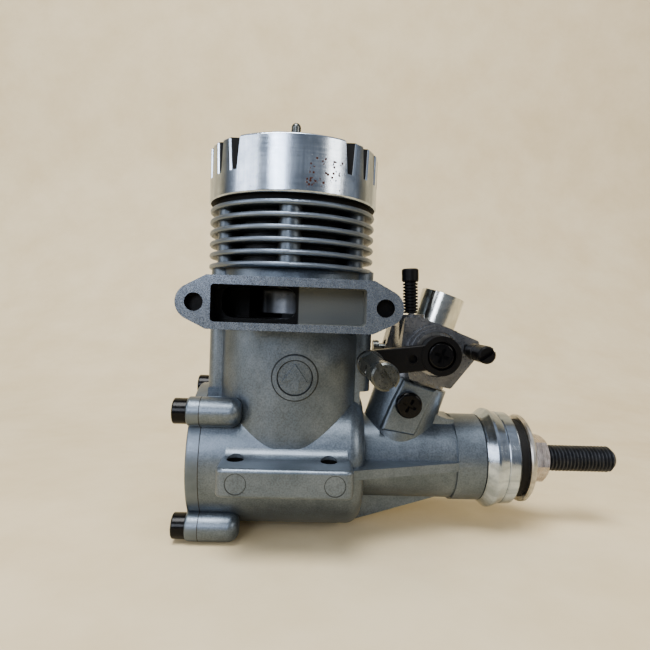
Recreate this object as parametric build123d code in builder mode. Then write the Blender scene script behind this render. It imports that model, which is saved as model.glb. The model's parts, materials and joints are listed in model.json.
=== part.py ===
from build123d import *
from math import cos, radians, sin
import os

os.makedirs("parts", exist_ok=True)

# A side-exhaust two-stroke model glow engine of 6.5 cc.
# Frame: +X forward along the crankshaft, +Y away from the exhaust, +Z up the cylinder.
# Origin: where the cylinder axis meets the crankshaft axis. All sizes are in millimetres.

# --- driving dimensions: cylinder and crank train ---
BORE_R = 10.5
STROKE = 18.8
CRANK_R = STROKE / 2
ROD_LENGTH = 34.1
WRIST_Z = CRANK_R + ROD_LENGTH
CROWN_ABOVE_PIN = 8.5
CROWN_Z = WRIST_Z + CROWN_ABOVE_PIN
PISTON_HEIGHT = 18.0
PISTON_R = BORE_R - 0.04
SQUISH_GAP = 0.6
LINER_R = 12.0
LINER_FLANGE_R = 13.4
LINER_FLANGE_T = 1.0
LINER_BOTTOM_Z = 20.0

# --- crankcase ---
DRUM_R = 16.2
DRUM_REAR_X = -17.9
DRUM_FRONT_X = 18.1
DRUM_EDGE_R = 3.5
CHAMBER_R = 14.6
LOWER_BARREL_R = 15.5
LOWER_BARREL_X = 0.5
LOWER_BARREL_FLAT = 3.4
BULGE_REAR_X = -18.3
BULGE_FRONT_X = 19.5
BULGE_HALF_Y = 7.5
BULGE_EDGE_R = 3.2
BULGE_FOOT_Z = 16.4
FIN_COUNT = 6
FIN_R = 19.54
FIN_THICK = 1.1
FIN_PITCH = 2.57
TOP_FIN_Z = 57.04
DECK_Z = TOP_FIN_Z + FIN_THICK / 2
LOW_FIN_Z = TOP_FIN_Z - (FIN_COUNT - 1) * FIN_PITCH
CORE_R = 14.5
COLUMN_R = 2.6
HEAD_SCREW_COUNT = 6
HEAD_SCREW_PCR = 16.0

# --- beam lugs ---
LUG_HALF_Y = 24.5
LUG_BOTTOM_Z = -2.8
LUG_TOP_Z = 3.15
LUG_REAR_X = -13.0
LUG_FRONT_X = 14.7
LUG_HOLE_SPAN_X = 19.7
LUG_HOLE_Y = 18.0
LUG_HOLE_R = 1.8

# --- exhaust ---
FLANGE_FACE_Y = -22.8
FLANGE_THICK = 3.0
FLANGE_MID_X = 0.72
FLANGE_HOLE_SPAN = 38.2
FLANGE_HOLE_Z = 35.8
FLANGE_HOLE_R = 1.85
FLANGE_HOLE_DEPTH = 2.4
FLANGE_EAR_R = 3.7
FLANGE_BOTTOM_Z = 30.5
FLANGE_TOP_Z = 41.3
FLANGE_BODY_X = 33.4
DUCT_REAR_X = -15.1
DUCT_FRONT_X = 16.0
DUCT_BOTTOM_Z = 32.0
DUCT_TOP_Z = 39.5
DUCT_DEPTH = 6.0
PORT_BOTTOM_Z = 33.0
PORT_TOP_Z = 39.4

# --- nose, bearings and shaft ---
NOSE_R = 9.9
NOSE_RING_R = 10.34
NOSE_RING_X = 40.0
NOSE_FRONT_X = 46.65
REAR_SEAT_X = 9.6
REAR_BEARING_W = 7.0
REAR_BEARING_IN_R = 7.5
REAR_BEARING_OUT_R = 14.0
REAR_BALL_R = 2.0
REAR_BALL_COUNT = 11
FRONT_SEAT_X = 41.3
FRONT_BEARING_W = 5.0
FRONT_BEARING_IN_R = 3.5
FRONT_BEARING_OUT_R = 8.5
FRONT_BALL_R = 1.25
FRONT_BALL_COUNT = 9
SEAT_GAP = 0.02
JOURNAL_R = REAR_BEARING_IN_R - SEAT_GAP
SHAFT_FRONT_R = FRONT_BEARING_IN_R - SEAT_GAP
THREAD_R = 3.175
NECK_R = 2.7
SHAFT_TIP_X = 82.1
WEB_REAR_X = 3.15
WEB_FRONT_X = 8.9
WEB_R = 14.2
CRANKPIN_R = 2.75
CRANKPIN_FRONT_X = 3.0
CRANKPIN_REAR_X = -2.9
SHAFT_BORE_R = 4.8

# --- backplate ---
PLATE_REAR_X = -20.9
GASKET_THICK = 0.2
PLATE_SCREW_PCR = 18.3
PLATE_SCREW_CLOCK = 3.5
PLATE_SCREW_R = 1.5
PLATE_BOSS_R = 3.2
PLATE_BOSS_FRONT_X = -9.3

# --- cylinder head and glow plug ---
HEAD_R = 19.83
HEAD_BAND_Z = 58.83
HEAD_TOP_Z = 70.93
HEAD_NECK_R = 18.2
HEAD_GASKET_THICK = 0.2
HEAD_SLOT_YS = (7.4, 11.8, 15.4)
HEAD_NOTCH_Y = 3.4
HEAD_NOTCH_X = 10.5
HEAD_SLOT_TOP = 2.2
HEAD_SLOT_BOTTOM = 1.3
HEAD_SLOT_FLOOR_Z = 63.9
PLUG_SEAT_Z = 67.5
PLUG_TIP_Z = 79.7

# --- carburettor: its main axis leans forward in the XZ plane ---
CARB_LEAN = 17.5
CARB_FOOT_X = 24.97
LEAN_X = sin(radians(CARB_LEAN))
LEAN_Z = cos(radians(CARB_LEAN))
BOSS_TOP_S = 19.5
STUB_R = 6.4
STUB_BOTTOM_S = 11.8
VENTURI_R = 3.75
CUP_TOP_S = 41.6
CUP_R = 5.25
BARREL_X = 33.2
BARREL_Z = 26.1
BARREL_R = 5.0
BARREL_HOLE_R = 5.05
HOUSING_RIM_R = 6.5
HOUSING_LIP_R = 5.8
CARB_NEAR_Y = -11.0
CARB_FAR_Y = 8.0
ARM_DROOP = 8.0
ARM_REACH = 15.4
CLAMP_X = 28.0
CLAMP_Z = 14.1
CLAMP_PAD_Y = -8.8

# --- case mark ---
MARK_X = 2.0
MARK_Z = 20.3
MARK_OUT_R = 4.8
MARK_IN_R = 3.85
MARK_HEIGHT = 0.55
EJECTOR_XS = (-8.9, 10.9)
EJECTOR_Z = 0.1
EJECTOR_R = 2.1

# --- backplate and head seats ---
PLATE_FRONT_X = DRUM_REAR_X - GASKET_THICK
HEAD_SEAT_Z = DECK_Z + HEAD_GASKET_THICK
SPIGOT_Z = CROWN_Z + SQUISH_GAP
HEAD_SCREW_SEAT_Z = 64.2
HEAD_SCREW_HEAD_R = 2.6

# --- glow plug ---
PLUG_THREAD_R = 3.1
PLUG_WASHER_T = 0.3
PLUG_HEX_Z = PLUG_SEAT_Z + PLUG_WASHER_T
PLUG_BOTTOM_Z = 57.4

# --- wrist pin and connecting rod ---
WRIST_PIN_R = 2.5
CLIP_X = 8.6
ROD_HALF_X = 2.5
SMALL_END_R = 3.9
BIG_END_R = 4.3
SMALL_BUSH_R = 3.1
BIG_BUSH_R = 3.4
PORT_WINDOW_ANGLE = 50

# --- drive washer, spacer, propeller washer and nut ---
DRIVE_REAR_X = 46.95
DRIVE_FRONT_X = 54.7
SPACER_FRONT_X = 57.15
WASHER_FRONT_X = 59.6
NUT_HALF_FLATS = 5.05
NUT_FRONT_X = 64.0

# --- carburettor screws ---
NEEDLE_X = 28.3
NEEDLE_Y = -7.0
NEEDLE_Z = 34.7
NEEDLE_LEAN = -3.0
IDLE_X = 40.5
IDLE_Z = 27.2
STOP_Y = 4.8

# --- throttle arm and push-rod connector ---
HUB_R = 4.3
HUB_NEAR_Y = -17.0
HUB_FAR_Y = -13.2
BLADE_NEAR_Y = -16.8
BLADE_FAR_Y = -14.4
BLADE_HALF_WIDTH = 2.75
LINK_X = BARREL_X - ARM_REACH * cos(radians(ARM_DROOP))
LINK_Z = BARREL_Z - ARM_REACH * sin(radians(ARM_DROOP))
LINK_HOLE_R = 0.96
SPARE_HOLE_REACH = 6.2
CONNECTOR_PIN_R = 0.9
CONNECTOR_DISC_R = 2.9
CONNECTOR_DISC_Y = -17.0
CONNECTOR_BODY_Y = -18.0
CONNECTOR_HEX_R = 2.6
CONNECTOR_END_Y = -33.0
CONNECTOR_SCREW_Y = -37.6
CONNECTOR_SCREW_R = 2.5
ROD_HOLE_Y = -27.5

carb_plane = Plane(
    origin=(CARB_FOOT_X, 0, 0), x_dir=(LEAN_Z, 0, -LEAN_X), z_dir=(LEAN_X, 0, LEAN_Z)
)


def finish(part, name):
    """Label a finished piece and write its STEP file."""
    part.label = name
    export_step(part, f"parts/{name}.step")


def rod_x(radius, x_start, x_end, y=0.0, z=0.0, mode=Mode.ADD):
    """Cylinder parallel to X between two stations."""
    with Locations(Location(((x_start + x_end) / 2, y, z), (0, 90, 0))):
        Cylinder(radius, x_end - x_start, mode=mode)


def rod_y(radius, y_start, y_end, x=0.0, z=0.0, mode=Mode.ADD):
    """Cylinder parallel to Y between two stations."""
    with Locations(Location((x, (y_start + y_end) / 2, z), (90, 0, 0))):
        Cylinder(radius, y_end - y_start, mode=mode)


def rod_z(radius, z_start, z_end, x=0.0, y=0.0, mode=Mode.ADD):
    """Cylinder parallel to Z between two stations."""
    with Locations((x, y, (z_start + z_end) / 2)):
        Cylinder(radius, z_end - z_start, mode=mode)


def rod_s(radius, s_start, s_end, mode=Mode.ADD):
    """Cylinder along the carburettor's leaning axis between two stations."""
    with Locations(carb_plane.offset((s_start + s_end) / 2).location):
        Cylinder(radius, s_end - s_start, mode=mode)


# =====================================================================================
# Crankcase casting
# =====================================================================================
head_screw_spots = [
    (
        HEAD_SCREW_PCR * cos(radians(-90 + 60 * i)),
        HEAD_SCREW_PCR * sin(radians(-90 + 60 * i)),
    )
    for i in range(HEAD_SCREW_COUNT)
]
plate_screw_spots = [
    (
        PLATE_SCREW_PCR * cos(radians(PLATE_SCREW_CLOCK + a)),
        PLATE_SCREW_PCR * sin(radians(PLATE_SCREW_CLOCK + a)),
    )
    for a in (45, 135, 225, 315)
]
flange_hole_xs = [FLANGE_MID_X + side * FLANGE_HOLE_SPAN / 2 for side in (-1, 1)]
lug_hole_spots = [
    (sx * LUG_HOLE_SPAN_X / 2, sy * LUG_HOLE_Y) for sx in (-1, 1) for sy in (-1, 1)
]

with BuildPart() as drum:
    with BuildSketch(Plane.YZ.offset(DRUM_REAR_X)):
        Circle(DRUM_R)
    extrude(amount=DRUM_FRONT_X - DRUM_REAR_X)
    fillet(drum.edges().filter_by(GeomType.CIRCLE).sort_by(Axis.X)[-1], DRUM_EDGE_R)

with BuildPart() as lugs:
    with BuildSketch(Plane.XY.offset(LUG_BOTTOM_Z)):
        with Locations(((LUG_REAR_X + LUG_FRONT_X) / 2, 0)):
            Rectangle(LUG_FRONT_X - LUG_REAR_X, 2 * LUG_HALF_Y)
    extrude(amount=LUG_TOP_Z - LUG_BOTTOM_Z)
    fillet(lugs.edges().filter_by(Axis.Z), 1.6)
    fillet(lugs.faces().sort_by(Axis.Z)[-1].edges(), 0.8)
    fillet(lugs.faces().sort_by(Axis.Z)[0].edges(), 0.8)
    # faint round ejector marks on both outer faces
    for x in EJECTOR_XS:
        for side in (-1, 1):
            y_pair = sorted((side * (LUG_HALF_Y - 0.12), side * (LUG_HALF_Y + 1)))
            rod_y(EJECTOR_R, y_pair[0], y_pair[1], x=x, z=EJECTOR_Z, mode=Mode.SUBTRACT)
    # the concave run from the lug's top up to the drum
    with BuildSketch(Plane.YZ.offset(LUG_REAR_X + 0.8)):
        for side in (-1, 1):
            with BuildLine():
                ThreePointArc((side * 18.3, LUG_TOP_Z), (side * 16.25, 3.85), (side * 15.3, 5.3))
                Polyline((side * 15.3, 5.3), (side * 13.0, 5.3), (side * 13.0, 1.0), (side * 18.3, 1.0),
                         (side * 18.3, LUG_TOP_Z))
            make_face()
    extrude(amount=LUG_FRONT_X - LUG_REAR_X - 1.6)

with BuildPart() as boss:
    rod_x(PLATE_BOSS_R, DRUM_REAR_X, PLATE_BOSS_FRONT_X)
    fillet(boss.edges().sort_by(Axis.X)[-1], 2.2)

with BuildPart() as fin:
    Cylinder(FIN_R, FIN_THICK)
    fillet(fin.edges().filter_by(GeomType.CIRCLE), 0.5)

with BuildPart() as flange:
    with BuildSketch(Plane.XZ.offset(-FLANGE_FACE_Y - FLANGE_THICK)):
        with Locations((FLANGE_MID_X, (FLANGE_BOTTOM_Z + FLANGE_TOP_Z) / 2)):
            Rectangle(FLANGE_BODY_X, FLANGE_TOP_Z - FLANGE_BOTTOM_Z)
        with Locations(*[(x, FLANGE_HOLE_Z) for x in flange_hole_xs]):
            Circle(FLANGE_EAR_R)
        make_hull()
    extrude(amount=FLANGE_THICK)
    fillet(flange.faces().sort_by(Axis.Y)[-1].edges(), 0.5)

# the raised casting mark: a ring with a plain arrow, following the barrel's surface
with BuildPart() as mark:
    with BuildSketch(Plane.XY.offset(12)):
        with Locations((LOWER_BARREL_X, 0)):
            SlotCenterToCenter(LOWER_BARREL_FLAT, 2 * (LOWER_BARREL_R + MARK_HEIGHT))
    extrude(amount=18)
    with BuildSketch(Plane.XZ.offset(12)):
        with Locations((MARK_X, MARK_Z)):
            Circle(MARK_OUT_R)
            Circle(MARK_IN_R, mode=Mode.SUBTRACT)
        with BuildLine():
            Polyline((MARK_X - 2.7, MARK_Z - 0.9), (MARK_X, MARK_Z + 2.9), (MARK_X + 2.7, MARK_Z - 0.9),
                     (MARK_X + 0.9, MARK_Z - 0.5), (MARK_X + 0.9, MARK_Z - 2.8),
                     (MARK_X - 0.9, MARK_Z - 2.8), (MARK_X - 0.9, MARK_Z - 0.5),
                     (MARK_X - 2.7, MARK_Z - 0.9))
        make_face()
    extrude(amount=8, mode=Mode.INTERSECT)

# the pad that takes the carburettor's clamp screw
with BuildPart() as clamp_pad:
    with BuildSketch(Plane.XZ.offset(1.0)):
        with BuildLine():
            Polyline((22.0, 8.0), (24.3, 14.1), (26.9, 19.8), (34.6, 17.45), (29.9, 6.7), (22.0, 8.0))
        make_face()
    extrude(amount=-CLAMP_PAD_Y - 1.0)
    fillet(clamp_pad.faces().sort_by(Axis.Y)[0].edges(), 0.7)

with BuildPart() as crankcase:
    add(drum.part)
    add(lugs.part)
    # side ribs from the lugs to the nose ring, and the keel rib below the nose
    with BuildSketch(Plane.XY.offset(-0.8)):
        for side in (-1, 1):
            with BuildLine():
                Polyline((13.0, 8 * side), (13.0, 18.3 * side), (14.7, 18.0 * side),
                         (NOSE_RING_X, 10.4 * side), (NOSE_RING_X, 8 * side), (13.0, 8 * side))
            make_face()
    extrude(amount=2.0)
    with BuildSketch(Plane.XZ):
        with BuildLine():
            Polyline((15.0, -9), (15.0, -16.0), (17.0, -16.2), (37.5, -10.0), (37.5, -9), (15.0, -9))
        make_face()
    extrude(amount=1.2, both=True)
    rod_x(NOSE_R, 12.0, NOSE_RING_X)
    rod_x(NOSE_RING_R, NOSE_RING_X, NOSE_FRONT_X)
    # barrel, transfer bulges, finned core and screw columns
    with BuildSketch(Plane.XY):
        with Locations((LOWER_BARREL_X, 0)):
            SlotCenterToCenter(LOWER_BARREL_FLAT, 2 * LOWER_BARREL_R)
    extrude(amount=LOW_FIN_Z)
    with BuildSketch(Plane.XY.offset(BULGE_FOOT_Z)):
        with Locations(((BULGE_REAR_X + BULGE_FRONT_X) / 2, 0)):
            RectangleRounded(BULGE_FRONT_X - BULGE_REAR_X, 2 * BULGE_HALF_Y, BULGE_EDGE_R)
    extrude(amount=LOW_FIN_Z - BULGE_FOOT_Z)
    with Locations(((DRUM_REAR_X + 17.0) / 2, 0, (8.0 + BULGE_FOOT_Z) / 2)):
        Box(17.0 - DRUM_REAR_X, 2 * BULGE_HALF_Y, BULGE_FOOT_Z - 8.0)
    rod_z(CORE_R, LOW_FIN_Z, DECK_Z)
    with Locations(*head_screw_spots):
        with Locations((0, 0, (LOW_FIN_Z + DECK_Z) / 2)):
            Cylinder(COLUMN_R, DECK_Z - LOW_FIN_Z)
    with Locations(*[(0, 0, TOP_FIN_Z - i * FIN_PITCH) for i in range(FIN_COUNT)]):
        add(fin.part)
    # exhaust stack and flange
    with BuildSketch(Plane.XZ.offset(8)):
        with Locations(((DUCT_REAR_X + DUCT_FRONT_X) / 2, (FLANGE_BOTTOM_Z + FLANGE_TOP_Z) / 2)):
            Rectangle(DUCT_FRONT_X - DUCT_REAR_X + 3.0, FLANGE_TOP_Z - FLANGE_BOTTOM_Z - 0.8)
    extrude(amount=-FLANGE_FACE_Y - FLANGE_THICK - 8)
    add(flange.part)
    add(mark.part)
    # backplate screw bosses
    with Locations(*[(0, y, z) for y, z in plate_screw_spots]):
        add(boss.part)
    # carburettor boss with the pad for its clamp screw
    rod_s(8.4, 3.0, BOSS_TOP_S)
    add(clamp_pad.part)
    # saddle that carries the boss down to the nose ring
    with BuildSketch(Plane.XZ):
        with BuildLine():
            Polyline((30.0, 4.0), (32.0, 15.6))
            TangentArc((32.0, 15.6), (NOSE_RING_X + 0.2, 10.0), tangent=(0.35, -0.94))
            Polyline((NOSE_RING_X + 0.2, 10.0), (NOSE_RING_X + 0.2, 4.0), (30.0, 4.0))
        make_face()
    extrude(amount=4.6, both=True)
    # ---- hollows ----
    rod_x(CHAMBER_R, DRUM_REAR_X - 1, REAR_SEAT_X, mode=Mode.SUBTRACT)
    rod_x(REAR_BEARING_OUT_R + SEAT_GAP, REAR_SEAT_X, REAR_SEAT_X + REAR_BEARING_W, mode=Mode.SUBTRACT)
    rod_x(REAR_BEARING_IN_R + 0.05, REAR_SEAT_X, FRONT_SEAT_X, mode=Mode.SUBTRACT)
    rod_x(FRONT_BEARING_OUT_R + SEAT_GAP, FRONT_SEAT_X, NOSE_FRONT_X + 1, mode=Mode.SUBTRACT)
    rod_z(LINER_R + SEAT_GAP, 0, DECK_Z + 1, mode=Mode.SUBTRACT)
    rod_z(LINER_FLANGE_R + SEAT_GAP, DECK_Z - LINER_FLANGE_T, DECK_Z + 1, mode=Mode.SUBTRACT)
    with BuildSketch(Plane.XY.offset(17.6)):
        with Locations(((BULGE_REAR_X + BULGE_FRONT_X) / 2, 0)):
            RectangleRounded(BULGE_FRONT_X - BULGE_REAR_X - 4.0, 2 * BULGE_HALF_Y - 4.6, 1.8)
    extrude(amount=39 - 17.6, mode=Mode.SUBTRACT)
    # exhaust: the wide pocket behind the face, then the port passage to the liner
    with BuildSketch(Plane.XZ.offset(-FLANGE_FACE_Y - DUCT_DEPTH)):
        with Locations(((DUCT_REAR_X + DUCT_FRONT_X) / 2, (DUCT_BOTTOM_Z + DUCT_TOP_Z) / 2)):
            RectangleRounded(DUCT_FRONT_X - DUCT_REAR_X, DUCT_TOP_Z - DUCT_BOTTOM_Z, 0.7)
    extrude(amount=DUCT_DEPTH + 1, mode=Mode.SUBTRACT)
    with BuildSketch(Plane.XZ.offset(8)):
        with Locations((-6.0, (DUCT_BOTTOM_Z + DUCT_TOP_Z) / 2 + 0.35)):
            RectangleRounded(15.6, DUCT_TOP_Z - DUCT_BOTTOM_Z - 0.9, 2.4)
    extrude(amount=-FLANGE_FACE_Y - DUCT_DEPTH - 8, mode=Mode.SUBTRACT)
    # induction passage, carburettor socket and its clamp screw hole
    rod_s(4.2, 3.0, 12.0, mode=Mode.SUBTRACT)
    rod_s(STUB_R + 0.05, STUB_BOTTOM_S - 0.6, BOSS_TOP_S + 1, mode=Mode.SUBTRACT)
    rod_y(1.55, CLAMP_PAD_Y - 1, -5.0, x=CLAMP_X, z=CLAMP_Z, mode=Mode.SUBTRACT)
    # screw holes
    for y, z in plate_screw_spots:
        rod_x(PLATE_SCREW_R + 0.05, DRUM_REAR_X - 1, -10.5, y=y, z=z, mode=Mode.SUBTRACT)
    for x, y in head_screw_spots:
        rod_z(1.55, 49.0, DECK_Z + 1, x=x, y=y, mode=Mode.SUBTRACT)
    for x, y in lug_hole_spots:
        rod_z(LUG_HOLE_R, LUG_BOTTOM_Z - 1, LUG_TOP_Z + 3, x=x, y=y, mode=Mode.SUBTRACT)
    for x in flange_hole_xs:
        rod_y(FLANGE_HOLE_R, FLANGE_FACE_Y - 1, FLANGE_FACE_Y + FLANGE_HOLE_DEPTH, x=x,
              z=FLANGE_HOLE_Z, mode=Mode.SUBTRACT)
finish(crankcase.part, "crankcase")

# =====================================================================================
# Backplate, its gasket and screws
# =====================================================================================
with BuildPart() as backplate:
    with BuildSketch(Plane.YZ.offset(PLATE_REAR_X)):
        Circle(DRUM_R)
        with Locations(*plate_screw_spots):
            Circle(PLATE_BOSS_R)
    extrude(amount=PLATE_FRONT_X - PLATE_REAR_X)
    fillet(backplate.faces().sort_by(Axis.X)[0].edges(), 0.6)
    rod_x(CHAMBER_R - 0.1, PLATE_FRONT_X, -13.6)
    rod_x(11.0, -17.2, -13.0, mode=Mode.SUBTRACT)
    rod_x(12.2, PLATE_REAR_X - 1, PLATE_REAR_X + 0.5, mode=Mode.SUBTRACT)
    for y, z in plate_screw_spots:
        rod_x(PLATE_SCREW_R + 0.05, PLATE_REAR_X - 1, PLATE_FRONT_X + 1, y=y, z=z, mode=Mode.SUBTRACT)
finish(backplate.part, "backplate")

with BuildPart() as backplate_gasket:
    with BuildSketch(Plane.YZ.offset(PLATE_FRONT_X)):
        Circle(DRUM_R)
        with Locations(*plate_screw_spots):
            Circle(PLATE_BOSS_R)
        Circle(CHAMBER_R, mode=Mode.SUBTRACT)
        with Locations(*plate_screw_spots):
            Circle(PLATE_SCREW_R + 0.05, mode=Mode.SUBTRACT)
    extrude(amount=GASKET_THICK)
finish(backplate_gasket.part, "backplate_gasket")


with BuildPart() as plate_screw:
    with BuildSketch(Plane.YZ.offset(PLATE_REAR_X)):
        Circle(PLATE_SCREW_R)
    extrude(amount=9.9)
    with BuildSketch(Plane.YZ.offset(PLATE_REAR_X - 3.0)):
        Circle(2.8)
    extrude(amount=3.0)
    fillet(plate_screw.faces().sort_by(Axis.X)[0].edges(), 0.35)
    with BuildSketch(Plane.YZ.offset(PLATE_REAR_X - 3.0)):
        RegularPolygon(1.44, 6)
    extrude(amount=1.6, mode=Mode.SUBTRACT)
with BuildPart() as backplate_screws:
    with Locations(*[(0, y, z) for y, z in plate_screw_spots]):
        add(plate_screw.part)
finish(backplate_screws.part, "backplate_screws")

# =====================================================================================
# Cylinder liner, head, gasket, head screws
# =====================================================================================
with BuildPart() as cylinder_liner:
    rod_z(LINER_R, LINER_BOTTOM_Z, DECK_Z)
    rod_z(LINER_FLANGE_R, DECK_Z - LINER_FLANGE_T, DECK_Z)
    rod_z(BORE_R, LINER_BOTTOM_Z - 1, DECK_Z + 1, mode=Mode.SUBTRACT)
    # exhaust window towards -Y, transfer windows fore and aft, boost window opposite
    with BuildSketch(Plane.XZ.offset(6)):
        with Locations((-3.0, (PORT_BOTTOM_Z + PORT_TOP_Z) / 2)):
            RectangleRounded(9.4, PORT_TOP_Z - PORT_BOTTOM_Z, 1.6)
    extrude(amount=8, mode=Mode.SUBTRACT)
    with BuildSketch(Plane.YZ):
        with Locations((0, 35.4)):
            RectangleRounded(7.6, 4.4, 1.0)
    extrude(amount=14, both=True, mode=Mode.SUBTRACT)
finish(cylinder_liner.part, "cylinder_liner")

with BuildPart() as cylinder_head:
    with BuildSketch(Plane.XZ):
        with BuildLine():
            Polyline((0, SPIGOT_Z), (BORE_R - 0.1, SPIGOT_Z), (BORE_R - 0.1, HEAD_SEAT_Z),
                     (HEAD_NECK_R, HEAD_SEAT_Z), (HEAD_NECK_R, HEAD_BAND_Z), (HEAD_R, HEAD_BAND_Z),
                     (HEAD_R, HEAD_TOP_Z), (0, HEAD_TOP_Z), (0, SPIGOT_Z))
        make_face()
    revolve(axis=Axis.Z)
    band_edges = cylinder_head.edges().filter_by(GeomType.CIRCLE)
    fillet(band_edges.filter_by(lambda e: abs(e.radius - HEAD_R) < 0.01), 0.45)
    for side in (-1, 1):
        for slot_y in HEAD_SLOT_YS:
            y = side * slot_y
            with BuildSketch(Plane.YZ.offset(-HEAD_R - 1)):
                with BuildLine():
                    Polyline((y - HEAD_SLOT_BOTTOM / 2, HEAD_SLOT_FLOOR_Z),
                             (y + HEAD_SLOT_BOTTOM / 2, HEAD_SLOT_FLOOR_Z),
                             (y + HEAD_SLOT_TOP / 2, HEAD_TOP_Z + 0.5),
                             (y - HEAD_SLOT_TOP / 2, HEAD_TOP_Z + 0.5),
                             (y - HEAD_SLOT_BOTTOM / 2, HEAD_SLOT_FLOOR_Z))
                make_face()
            extrude(amount=2 * HEAD_R + 2, mode=Mode.SUBTRACT)
    # short notches at the ends, either side of the glow plug's land
    with Locations(*[(sx * (HEAD_NOTCH_X + 5), sy * HEAD_NOTCH_Y, HEAD_SLOT_FLOOR_Z + 4.4)
                     for sx in (-1, 1) for sy in (-1, 1)]):
        Box(10, (HEAD_SLOT_TOP + HEAD_SLOT_BOTTOM) / 2, 8.8, mode=Mode.SUBTRACT)
    for x, y in head_screw_spots:
        rod_z(1.6, HEAD_SEAT_Z - 1, HEAD_TOP_Z + 1, x=x, y=y, mode=Mode.SUBTRACT)
        rod_z(2.9, HEAD_SCREW_SEAT_Z, HEAD_TOP_Z + 1, x=x, y=y, mode=Mode.SUBTRACT)
    rod_z(5.6, PLUG_SEAT_Z, HEAD_TOP_Z + 1, mode=Mode.SUBTRACT)
    rod_z(PLUG_THREAD_R + 0.07, SPIGOT_Z - 1, HEAD_TOP_Z + 1, mode=Mode.SUBTRACT)
    # combustion chamber: a shallow bowl inside the squish band
    with Locations((0, 0, SPIGOT_Z - 2.6)):
        Sphere(6.8, mode=Mode.SUBTRACT)
finish(cylinder_head.part, "cylinder_head")

with BuildPart() as head_gasket:
    rod_z(LINER_FLANGE_R + 0.6, DECK_Z, HEAD_SEAT_Z)
    rod_z(BORE_R + 0.05, DECK_Z - 1, HEAD_SEAT_Z + 1, mode=Mode.SUBTRACT)
finish(head_gasket.part, "head_gasket")

with BuildPart() as head_screw:
    rod_z(1.5, 50.0, HEAD_SCREW_SEAT_Z)
    rod_z(HEAD_SCREW_HEAD_R, HEAD_SCREW_SEAT_Z, HEAD_SCREW_SEAT_Z + 3.0)
    fillet(head_screw.faces().sort_by(Axis.Z)[-1].edges(), 0.3)
    with BuildSketch(Plane.XY.offset(HEAD_SCREW_SEAT_Z + 1.4)):
        RegularPolygon(1.44, 6)
    extrude(amount=1.6, mode=Mode.SUBTRACT)
with BuildPart() as head_screws:
    with Locations(*head_screw_spots):
        add(head_screw.part)
finish(head_screws.part, "head_screws")

# =====================================================================================
# Glow plug
# =====================================================================================
with BuildPart() as glow_plug_body:
    rod_z(PLUG_THREAD_R, PLUG_BOTTOM_Z, PLUG_HEX_Z)
    with BuildSketch(Plane.XY.offset(PLUG_HEX_Z)):
        RegularPolygon(4.0, 6, major_radius=False)
    extrude(amount=3.4)
    rod_z(2.9, PLUG_HEX_Z + 3.4, 75.2)
    rod_z(1.75, PLUG_BOTTOM_Z - 1, 76, mode=Mode.SUBTRACT)
finish(glow_plug_body.part, "glow_plug_body")

with BuildPart() as glow_plug_washer:
    rod_z(4.6, PLUG_SEAT_Z, PLUG_HEX_Z)
    rod_z(PLUG_THREAD_R + 0.07, PLUG_SEAT_Z - 1, PLUG_HEX_Z + 1, mode=Mode.SUBTRACT)
finish(glow_plug_washer.part, "glow_plug_washer")

with BuildPart() as glow_plug_insulator:
    rod_z(1.73, 61.0, 75.2)
    rod_z(2.1, 75.2, 76.2)
    rod_z(0.82, 60, 77, mode=Mode.SUBTRACT)
finish(glow_plug_insulator.part, "glow_plug_insulator")

with BuildPart() as glow_plug_post:
    rod_z(0.8, 60.6, 76.2)
    rod_z(1.15, 76.2, PLUG_TIP_Z - 1.15)
    with Locations((0, 0, PLUG_TIP_Z - 1.15)):
        Sphere(1.15)
finish(glow_plug_post.part, "glow_plug_post")

with BuildPart() as glow_plug_coil:
    with Locations(*[(0, 0, 58.0 + 0.55 * i) for i in range(5)]):
        Torus(1.1, 0.18)
finish(glow_plug_coil.part, "glow_plug_coil")

# =====================================================================================
# Piston, wrist pin, clips, connecting rod, crankpin
# =====================================================================================
with BuildPart() as piston:
    rod_z(PISTON_R, CROWN_Z - PISTON_HEIGHT, CROWN_Z)
    fillet(piston.faces().sort_by(Axis.Z)[-1].edges(), 0.3)
    rod_z(8.9, CROWN_Z - PISTON_HEIGHT - 1, CROWN_Z - 2.2, mode=Mode.SUBTRACT)
    for side in (-1, 1):
        x_pair = sorted((side * 3.3, side * 9.4))
        rod_x(4.3, x_pair[0], x_pair[1], z=WRIST_Z)
        with Locations((side * 6.2, 0, (WRIST_Z + CROWN_Z - 1) / 2)):
            Box(5.8, 6.0, CROWN_Z - 1 - WRIST_Z)
    rod_x(WRIST_PIN_R + 0.03, -PISTON_R - 1, PISTON_R + 1, z=WRIST_Z, mode=Mode.SUBTRACT)
    for side in (-1, 1):
        rod_x(WRIST_PIN_R + 0.3, side * CLIP_X - 0.4, side * CLIP_X + 0.4, z=WRIST_Z, mode=Mode.SUBTRACT)
finish(piston.part, "piston")

with BuildPart() as wrist_pin:
    rod_x(WRIST_PIN_R, -8.1, 8.1, z=WRIST_Z)
    rod_x(1.4, -9, 9, z=WRIST_Z, mode=Mode.SUBTRACT)
finish(wrist_pin.part, "wrist_pin")

with BuildPart() as wrist_pin_clips:
    for side in (-1, 1):
        with Locations(Location((side * CLIP_X, 0, WRIST_Z), (0, 90, 0))):
            Torus(WRIST_PIN_R - 0.1, 0.3)
finish(wrist_pin_clips.part, "wrist_pin_clips")

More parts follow.
